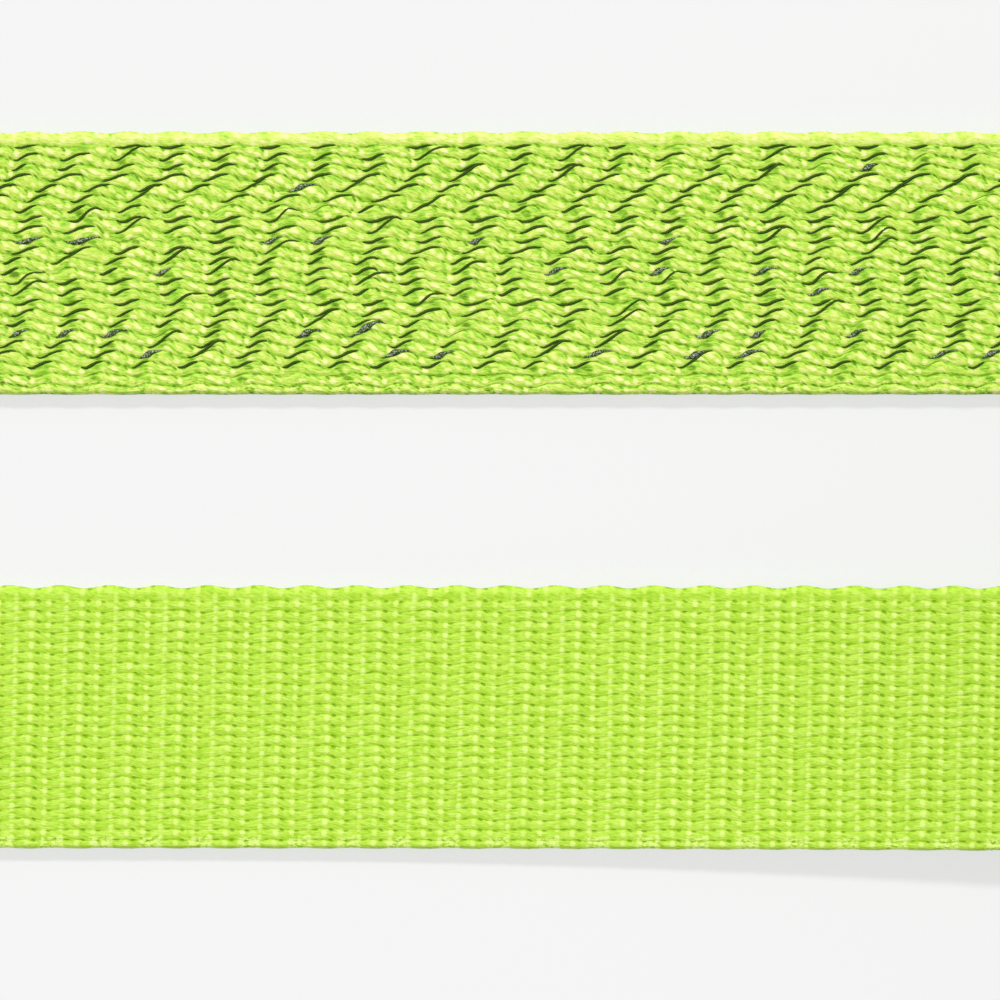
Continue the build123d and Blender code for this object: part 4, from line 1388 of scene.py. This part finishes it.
@dataclass(frozen=True)
class PawlSpring:
    """A pawl's coil spring, with closed end turns, lying along the slide between the pawl and its tab."""

    node: str
    body: str
    joint: str
    length: float = 10.0 * MM
    travel: float = 4.0 * MM
    radius: float = 2.75 * MM
    wire: float = 0.45 * MM
    turns: float = 5.5
    closed: float = 0.8
    opening: float = 0.4
    closed_pace: float = 0.12
    stations: int = 220
    sides: int = 12

    def build(self, finishes: Finishes) -> None:
        """Carry the wire's circle along a helix whose rise per turn is small in its closed ends.

        Args:
            finishes: The materials.
        """
        joints = {joint["name"]: joint for joint in frame["joints"]}
        axis = np.array(joints[self.joint]["axis"], float)
        axis /= np.linalg.norm(axis)
        hub = np.array(joints["spool_spin"]["pos_m"], float)
        low, high = (np.array(corner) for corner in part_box(self.node))
        centre = hub + axis * np.dot((low + high) / 2 - hub, axis)
        across = np.array([0.0, 1.0, 0.0])
        up = np.cross(axis, across)
        turn = np.linspace(0, self.turns, self.stations)
        open_from, open_to = self.closed + self.opening, self.turns - self.closed - self.opening
        slow = self.closed_pace
        pace = np.interp(turn, [0, self.closed, open_from, open_to, self.turns - self.closed, self.turns],
                         [slow, slow, 1, 1, slow, slow])
        rise = np.concatenate([[0], np.cumsum((pace[1:] + pace[:-1]) / 2)])
        rise = (rise / rise[-1] - 0.5) * (self.length - 2 * self.wire)
        angle = tau * turn
        out = np.cos(angle)[:, None] * across + np.sin(angle)[:, None] * up
        line = centre + rise[:, None] * axis + self.radius * out
        flat = np.cross(out, unit(np.gradient(line, axis=0)))
        size = np.full((1, self.stations), self.wire)
        points, quads, triangles, uv = tubes(line[None], out[None], -flat[None], size, size, self.sides)
        piece = mesh_piece(self.node + "_coil", points, quads, uv, materials=[finishes.spring],
                           triangles=triangles)
        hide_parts(self.node)
        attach(piece, self.body)
        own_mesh(piece)
        LOG.info("%s: %.1f turns", piece.name, self.turns)


# ------------------------------------------------------------------------------------------- straps
@dataclass
class Layout:
    """Places that the straps share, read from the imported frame."""

    eye_taper: float = 13.0 * MM
    sewn: float = 35.0 * MM
    lift: float = radians(6.0)
    thickness: float = 1.8 * MM
    spacer_gap: float = 0.3 * MM

    def __post_init__(self) -> None:
        """Read the lanes, the hook bars, the bolt and the roll, and work out the rise to the bolt."""
        joints = {joint["name"]: joint for joint in frame["record"]["behaviour"]["joints"]}
        self.fixed_bar = joints["fixed_hook_swing"]["pos_m"]
        self.long_bar = joints["strap_hook_swing"]["pos_m"]
        low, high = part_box("strap_bolt")
        self.bolt = ((low.x + high.x) / 2, (low.z + high.z) / 2)
        low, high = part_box("long_strap_roll")
        self.roll_centre = ((low.x + high.x) / 2, (low.z + high.z) / 2)
        self.roll_radius = (high.x - low.x) / 2
        self.lift_radius = (self.bolt[1] - self.thickness / 2 * (1 + cos(self.lift))
                            - self.eye_taper * sin(self.lift)) / (1 - cos(self.lift))
        inner = self.lift_radius - self.thickness / 2
        self.lift_start = self.bolt[0] - inner * sin(self.lift) - self.eye_taper * cos(self.lift)
        self.bend = self.lift - self.sewn / inner

    def hook_fold(self, bar: Sequence[float]) -> StrapPath:
        """Path of a sewn end round a hook's bar, from the lower layer's far end to the top layer's cut end.

        Args:
            bar: The middle of the hook's bar.

        Returns:
            The path: straight runs joined by an arc that they touch.
        """
        half = self.thickness / 2
        centre = (bar[0], bar[2])
        far = bar[0] + self.eye_taper + self.sewn
        near = (bar[0] + self.eye_taper, 3 * half)
        radius = bar[2] - half
        x, z = arc(centre, radius, -pi / 2, tangent_angle(centre, radius, near, 1) - tau, 60)
        run, slope = 200, 20
        x = np.concatenate([np.linspace(far, centre[0], run, endpoint=False), x,
                            np.linspace(x[-1], near[0], slope)[1:], np.linspace(near[0], far, run)[1:]])
        z = np.concatenate([np.full(run, half), z, np.linspace(z[-1], near[1], slope)[1:],
                            np.full(run - 1, near[1])])
        return softened(StrapPath(x, z, bar[1]))

    def bolt_fold(self) -> StrapPath:
        """Path of the sewn end round the ratchet's bolt, from the upper layer's cut end back under it.

        Returns:
            The path: two arcs side by side, joined round the bolt by straight lines that touch them.
        """
        half = self.thickness / 2
        pivot = (self.lift_start, half + self.lift_radius)
        upper = arc(pivot, self.lift_radius - self.thickness, -pi / 2 + self.bend, -pi / 2 + self.lift, 80)
        lower = arc(pivot, self.lift_radius, -pi / 2 + self.lift, -pi / 2 + self.bend, 80)
        radius = SPACER_RADIUS + self.spacer_gap + half
        start = tangent_angle(self.bolt, radius, (upper[0][-1], upper[1][-1]), -1)
        stop = tangent_angle(self.bolt, radius, (lower[0][0], lower[1][0]), 1)
        turn = arc(self.bolt, radius, start, stop - tau, 70)
        x, z = (np.concatenate([
            upper[axis], np.linspace(upper[axis][-1], turn[axis][0], 16)[1:-1], turn[axis],
            np.linspace(turn[axis][-1], lower[axis][0], 16)[1:-1], lower[axis]]) for axis in (0, 1))
        return softened(StrapPath(x, z, self.fixed_bar[1]))


@dataclass
class Straps:
    """Both straps: their open stretches, sewn ends, stitching, film threads and the roll."""

    layout: Layout
    finishes: Finishes
    fine_step: float = 0.25 * MM
    coarse_step: float = 0.8 * MM
    fold_step: float = 0.6 * MM
    fine_rows: int = 6
    fine_from: float = -56.5 * MM
    fine_to: float = 41.5 * MM
    back_sink: float = 0.01 * MM
    back_dive: float = 0.06 * MM
    roll_pitch: float = 1.9 * MM
    roll_lead: float = 14 * MM
    roll_step: float = 1.6 * MM
    last_turn_step: float = 0.9 * MM
    last_turn_share: float = 1.02
    hub_radius: float = 12.0 * MM
    turn_points: int = 400

    def open_columns(self, path: StrapPath) -> Array:
        """Column places of an open stretch: close together in its middle, wider apart beyond.

        Args:
            path: The stretch's middle line.

        Returns:
            Distances along it.
        """
        along = path.along
        low, high = np.interp([self.fine_from, self.fine_to], path.x, along)
        left = even_columns(low, self.coarse_step)[:-1]
        middle = low + even_columns(high - low, self.fine_step)[:-1]
        right = high + even_columns(along[-1] - high, self.coarse_step)
        return np.concatenate([left, middle, right])

    def build_fixed(self) -> None:
        """The short strap, plain face up, from its hook to the ratchet's bolt."""
        layout = self.layout
        lane, half = layout.fixed_bar[1], layout.thickness / 2
        start = layout.fixed_bar[0] + layout.eye_taper + layout.sewn
        pivot = (layout.lift_start, half + layout.lift_radius)
        curve = arc(pivot, layout.lift_radius, -pi / 2, -pi / 2 + layout.bend, 120)
        flat = np.linspace(start, layout.lift_start, 60, endpoint=False)
        path = StrapPath(np.concatenate([flat, curve[0]]),
                         np.concatenate([np.full(len(flat), half), curve[1]]), lane)
        weave = Weave(seed=11, face=Face.PLAIN)
        stretch = WebbingRun(path, weave, self.open_columns(path), self.fine_rows)
        outer = Weave(seed=23, face=Face.REFLECTIVE)
        hook = self.fold(layout.hook_fold(layout.fixed_bar), outer)
        bolt = self.fold(layout.bolt_fold(), outer)
        webbing = webbing_piece("short_strap_webbing", [stretch, hook, bolt], self.finishes)
        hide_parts("fixed_strap", "fixed_strap_hook_end", "fixed_strap_ratchet_end")
        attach(webbing, "ratchet_base")
        threads = [FilmThreads().build(f"short_strap_film_{number}", run, self.finishes.film, 5 + number)
                   for number, run in enumerate((hook, bolt))]
        threads.append(self.back_film("short_strap_film_under", path, 8))
        for piece in threads:
            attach(piece, "ratchet_base")
        sewing = SewnBlock()
        half_sewn = layout.sewn / 2
        stitches = sewing.build("short_strap_stitches", [
            sewing.stitches(hook.path, hook.path.along[-1] - half_sewn, layout.sewn, outer, 61),
            sewing.stitches(bolt.path, half_sewn, layout.sewn, outer, 62)], self.finishes)
        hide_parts("fixed_strap_stitching")

    def build_long(self) -> None:
        """The long strap, reflective face up, from its hook to where it runs in under the roll."""
        layout = self.layout
        lane, half = layout.long_bar[1], layout.thickness / 2
        start = layout.long_bar[0] + layout.eye_taper + layout.sewn
        stop = layout.roll_centre[0] - self.roll_lead
        path = StrapPath(np.linspace(start, stop, 80), np.full(80, half), lane)
        weave = Weave(seed=4, face=Face.REFLECTIVE)
        stretch = WebbingRun(path, weave, self.open_columns(path), self.fine_rows)
        hook = self.fold(layout.hook_fold(layout.long_bar), Weave(seed=31, face=Face.PLAIN))
        webbing = webbing_piece("long_strap_webbing", [stretch, hook], self.finishes)
        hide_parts("long_strap", "long_strap_hook_end")
        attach(webbing, "ratchet_base")
        film = FilmThreads().build("long_strap_film", stretch, self.finishes.film, 9)
        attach(film, "ratchet_base")
        sewing = SewnBlock()
        stitches = sewing.build("long_strap_stitches", [sewing.stitches(
            hook.path, hook.path.along[-1] - layout.sewn / 2, layout.sewn, weave, 63)], self.finishes)
        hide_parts("long_strap_stitching")
        self.build_roll(stop)

    def back_film(self, name: str, path: StrapPath, seed: int) -> Piece:
        """Film threads on the simple back of a run, which is flat, so that they dive less.

        Args:
            name: Object name.
            path: The run's middle line.
            seed: Start of the random draws.

        Returns:
            The object.
        """
        path = path.reversed()
        weave = Weave(seed=seed, face=Face.REFLECTIVE)
        run = WebbingRun(path, weave, even_columns(path.along[-1], self.coarse_step), 1)
        threads = FilmThreads(sink=self.back_sink, dive=self.back_dive)
        return threads.build(name, run, self.finishes.film, seed)

    def fold(self, path: StrapPath, weave: Weave) -> WebbingRun:
        """A sewn end along its fold, two faces across each row."""
        return WebbingRun(path, weave, even_columns(path.along[-1], self.fold_step), 2)

    def build_roll(self, stop: float) -> None:
        """The spare webbing: a spiral whose radius shrinks by one layer a turn, ending flat on the floor.

        The outermost turn is a run of its own with two faces across each row; the turns inside it have one.

        Args:
            stop: Where along X the flat end meets the long strap.
        """
        layout = self.layout
        centre, half = layout.roll_centre, layout.thickness / 2
        outer = layout.roll_radius - half
        turns = (outer - self.hub_radius - self.roll_pitch / 2) / self.roll_pitch
        angle = np.linspace(turns * tau, 0, int(turns * self.turn_points))
        radius = outer - self.roll_pitch * angle / tau
        x = np.concatenate([centre[0] + radius * np.sin(angle), np.linspace(centre[0], stop, 20)[1:]])
        z = np.concatenate([centre[1] - radius * np.cos(angle), np.full(19, half)])
        path = StrapPath(x, z, layout.long_bar[1])
        total = path.along[-1]
        last_turn = total - (outer + self.roll_pitch) * tau * self.last_turn_share
        outer_columns = last_turn + even_columns(total - last_turn, self.last_turn_step)
        plain = Weave(seed=47, face=Face.PLAIN)
        runs = [WebbingRun(path, plain, even_columns(last_turn, self.roll_step), 1),
                WebbingRun(path, plain, outer_columns, 2)]
        piece = webbing_piece("long_strap_roll_webbing", runs, self.finishes)
        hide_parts("long_strap_roll")
        innermost = StrapPath(x[:self.turn_points], z[:self.turn_points], layout.long_bar[1])
        film = self.back_film("long_strap_roll_film", innermost, 10)
        for part in (piece, film):
            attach(part, "ratchet_base")
        LOG.info("roll: %.3f m of webbing in %.1f turns", total, turns)


@dataclass(frozen=True)
class RollTie:
    """The ribbed elastic band round the roll's section, which follows the roll's curve across its width."""

    thickness: float = 1.2 * MM
    corner: float = 1.8 * MM
    ribs: int = 9
    rib_height: float = 0.14 * MM
    corner_steps: int = 9
    profile_steps: int = 73

    def build(self, layout: Layout, finishes: Finishes) -> None:
        """Carry the band's profile round a rounded rectangle in Y and in distance from the roll's axis.

        At a share s of its half width the profile is the root of 1 - s ** 8 thick, less a cosine rib.  A
        point at distance r from the axis and x along X lies at height sqrt(r * r - x * x) above the axis, so
        the band hugs the roll inside and outside.

        Args:
            layout: Where the roll's axis is.
            finishes: The materials.
        """
        low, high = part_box("roll_tie")
        axis_x, axis_z = layout.roll_centre
        width = high.x - low.x
        half_span = (high.y - low.y) / 2 - self.thickness / 2
        outer = high.z - axis_z - self.thickness / 2
        inner = sqrt((low.z - axis_z) ** 2 + (width / 2) ** 2) + self.thickness / 2
        middle, half_rise = (outer + inner) / 2, (outer - inner) / 2
        turn = np.linspace(0, pi / 2, self.corner_steps)[None, :] + pi / 2 * np.arange(4)[:, None]
        quarter = np.arange(4)[:, None] * pi / 2 + pi / 4
        across = np.sign(np.cos(quarter)) * (half_span - self.corner) + self.corner * np.cos(turn)
        away = middle + np.sign(np.sin(quarter)) * (half_rise - self.corner) + self.corner * np.sin(turn)
        turn, across, away = turn.reshape(-1, 1), across.reshape(-1, 1), away.reshape(-1, 1)
        share = np.sin(pi / 2 * np.linspace(-1, 1, self.profile_steps))
        rib = 1 - np.cos(tau * self.ribs * (share + 1) / 2)
        half = (self.thickness - self.rib_height * rib) / 2 * np.sqrt(1 - share ** 8)
        along_x = width / 2 * np.concatenate([share[:0:-1], share[:-1]])
        proud = np.concatenate([half[:0:-1], -half[:-1]])
        reach = away + proud * np.sin(turn)
        points = np.stack([axis_x + np.broadcast_to(along_x, reach.shape),
                           (low.y + high.y) / 2 + across + proud * np.cos(turn),
                           axis_z + np.sqrt(reach ** 2 - along_x ** 2)], axis=-1)
        number = np.arange(reach.size).reshape(reach.shape)
        after = np.roll(number, -1, axis=0)
        quads = np.stack([number, np.roll(number, -1, axis=1), np.roll(after, -1, axis=1), after], axis=-1)
        piece = mesh_piece("roll_tie_band", points.reshape(-1, 3), quads.reshape(-1, 4),
                           materials=[finishes.tie])
        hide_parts("roll_tie")
        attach(piece, "ratchet_base")
        LOG.info("%s: %d ribs", piece.name, self.ribs)


# ------------------------------------------------------------------------------------------- studio
@dataclass
class Studio:
    """Floor, light and camera."""

    centre: Point = (-7.4 * MM, 2.43 * MM)
    upper_face: float = 1.8 * MM
    view_width: float = 96.2 * MM
    lens: float = 150.0
    sensor: float = 36.0
    floor_reach: float = 4.0
    floor_colour: float = 0.9131
    shadow_softening: float = 0.72
    surround: float = 0.50
    sun_energy: float = 2.2
    sun_angle: float = radians(7)
    sun_tilt: tuple[float, float, float] = (radians(-42), radians(-6), 0)

    def build(self) -> None:
        """Make the studio."""
        self.build_floor()
        self.build_light()
        self.build_camera()

    def build_floor(self) -> None:
        """A plain pale floor that keeps the shadows but shows them lightly to the camera."""
        corners = [(-1, -1, 0), (1, -1, 0), (1, 1, 0), (-1, 1, 0)]
        material = bpy.data.materials.new("floor_paper")
        material.use_nodes = True
        material.node_tree.nodes.clear()
        nodes = Nodes(material.node_tree)
        grey = (self.floor_colour,) * 3
        diffuse = nodes.add("BsdfDiffuse", {0: grey})
        glow = nodes.add("Emission", {0: grey, 1: 1.0})
        share = nodes.times(nodes.add("LightPath").outputs["Is Camera Ray"], self.shadow_softening)
        mixed = nodes.add("MixShader", {0: share, 1: diffuse.outputs[0], 2: glow.outputs[0]})
        nodes.add("OutputMaterial", {0: mixed.outputs[0]})
        mesh_piece("floor", self.floor_reach * np.array(corners), np.array([[0, 1, 2, 3]]),
                            materials=[material])

    def build_light(self) -> None:
        """A soft key from beyond the long strap and an even white surround."""
        world = bpy.data.worlds.new("studio")
        world.use_nodes = True
        world.node_tree.nodes.clear()
        nodes = Nodes(world.node_tree)
        rays = nodes.add("LightPath").outputs
        seen = nodes.math("MAXIMUM", rays["Is Camera Ray"], rays["Is Glossy Ray"])
        seen = nodes.math("MAXIMUM", seen, rays["Is Transmission Ray"])
        strength = nodes.span(seen, 0.0, 1.0, self.surround, self.floor_colour)
        back = nodes.add("Background", {0: (1.0, 1.0, 1.0), 1: strength})
        nodes.add("OutputWorld", {0: back.outputs[0]})
        bpy.context.scene.world = world
        lamp = bpy.data.lights.new("key", "SUN")
        lamp.energy = self.sun_energy
        lamp.angle = self.sun_angle
        key = bpy.data.objects.new("key", lamp)
        key.rotation_euler = self.sun_tilt
        bpy.context.scene.collection.objects.link(key)

    def build_camera(self) -> None:
        """A long lens looking straight down, as wide as the view at the straps' upper face."""
        camera = bpy.data.cameras.new("camera")
        camera.lens = self.lens
        camera.sensor_width = self.sensor
        camera.clip_start = 0.01
        camera.clip_end = 20.0
        holder = bpy.data.objects.new("camera", camera)
        distance = self.view_width * self.lens / self.sensor
        holder.location = (*self.centre, distance + self.upper_face)
        bpy.context.scene.collection.objects.link(holder)
        bpy.context.scene.camera = holder


def dress_hardware(finishes: Finishes) -> None:
    """Give every CAD node that stays visible its finish.

    Args:
        finishes: The materials.
    """
    looks = (
        (finishes.plate, ("base_frame", "strap_bolt", "bolt_nut", "bolt_spacer", "spool_half_upper",
                          "spool_half_lower", "spool_washers", "handle_frame", "drive_pawl", "lock_pawl")),
        (finishes.wheel, ("ratchet_wheel_left", "ratchet_wheel_right")),
        (finishes.wire, ("cotter_pins", "fixed_hook", "strap_hook")),
        (finishes.rubber, ("handle_grip",)),
        (finishes.vinyl, ("fixed_hook_coating", "strap_hook_coating")),
    )
    for material, names in looks:
        for name in names:
            materials = frame["nodes"][name].data.materials
            materials.clear()
            materials.append(material)
        LOG.info("%s on %s", material.name, ", ".join(names))


def main() -> None:
    """Build the studio, the straps and the hardware's finishes."""
    logging.basicConfig(level=logging.INFO, format="%(name)s: %(message)s")
    bpy.context.scene.view_settings.view_transform = "Standard"
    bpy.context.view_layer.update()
    Studio().build()
    finishes = Finishes()
    layout = Layout()
    straps = Straps(layout, finishes)
    straps.build_fixed()
    straps.build_long()
    RollTie().build(layout, finishes)
    PawlSpring("drive_spring", "handle", "drive_pawl_slide").build(finishes)
    PawlSpring("lock_spring", "ratchet_base", "lock_pawl_slide").build(finishes)
    dress_hardware(finishes)


if __name__ == "__main__":
    main()
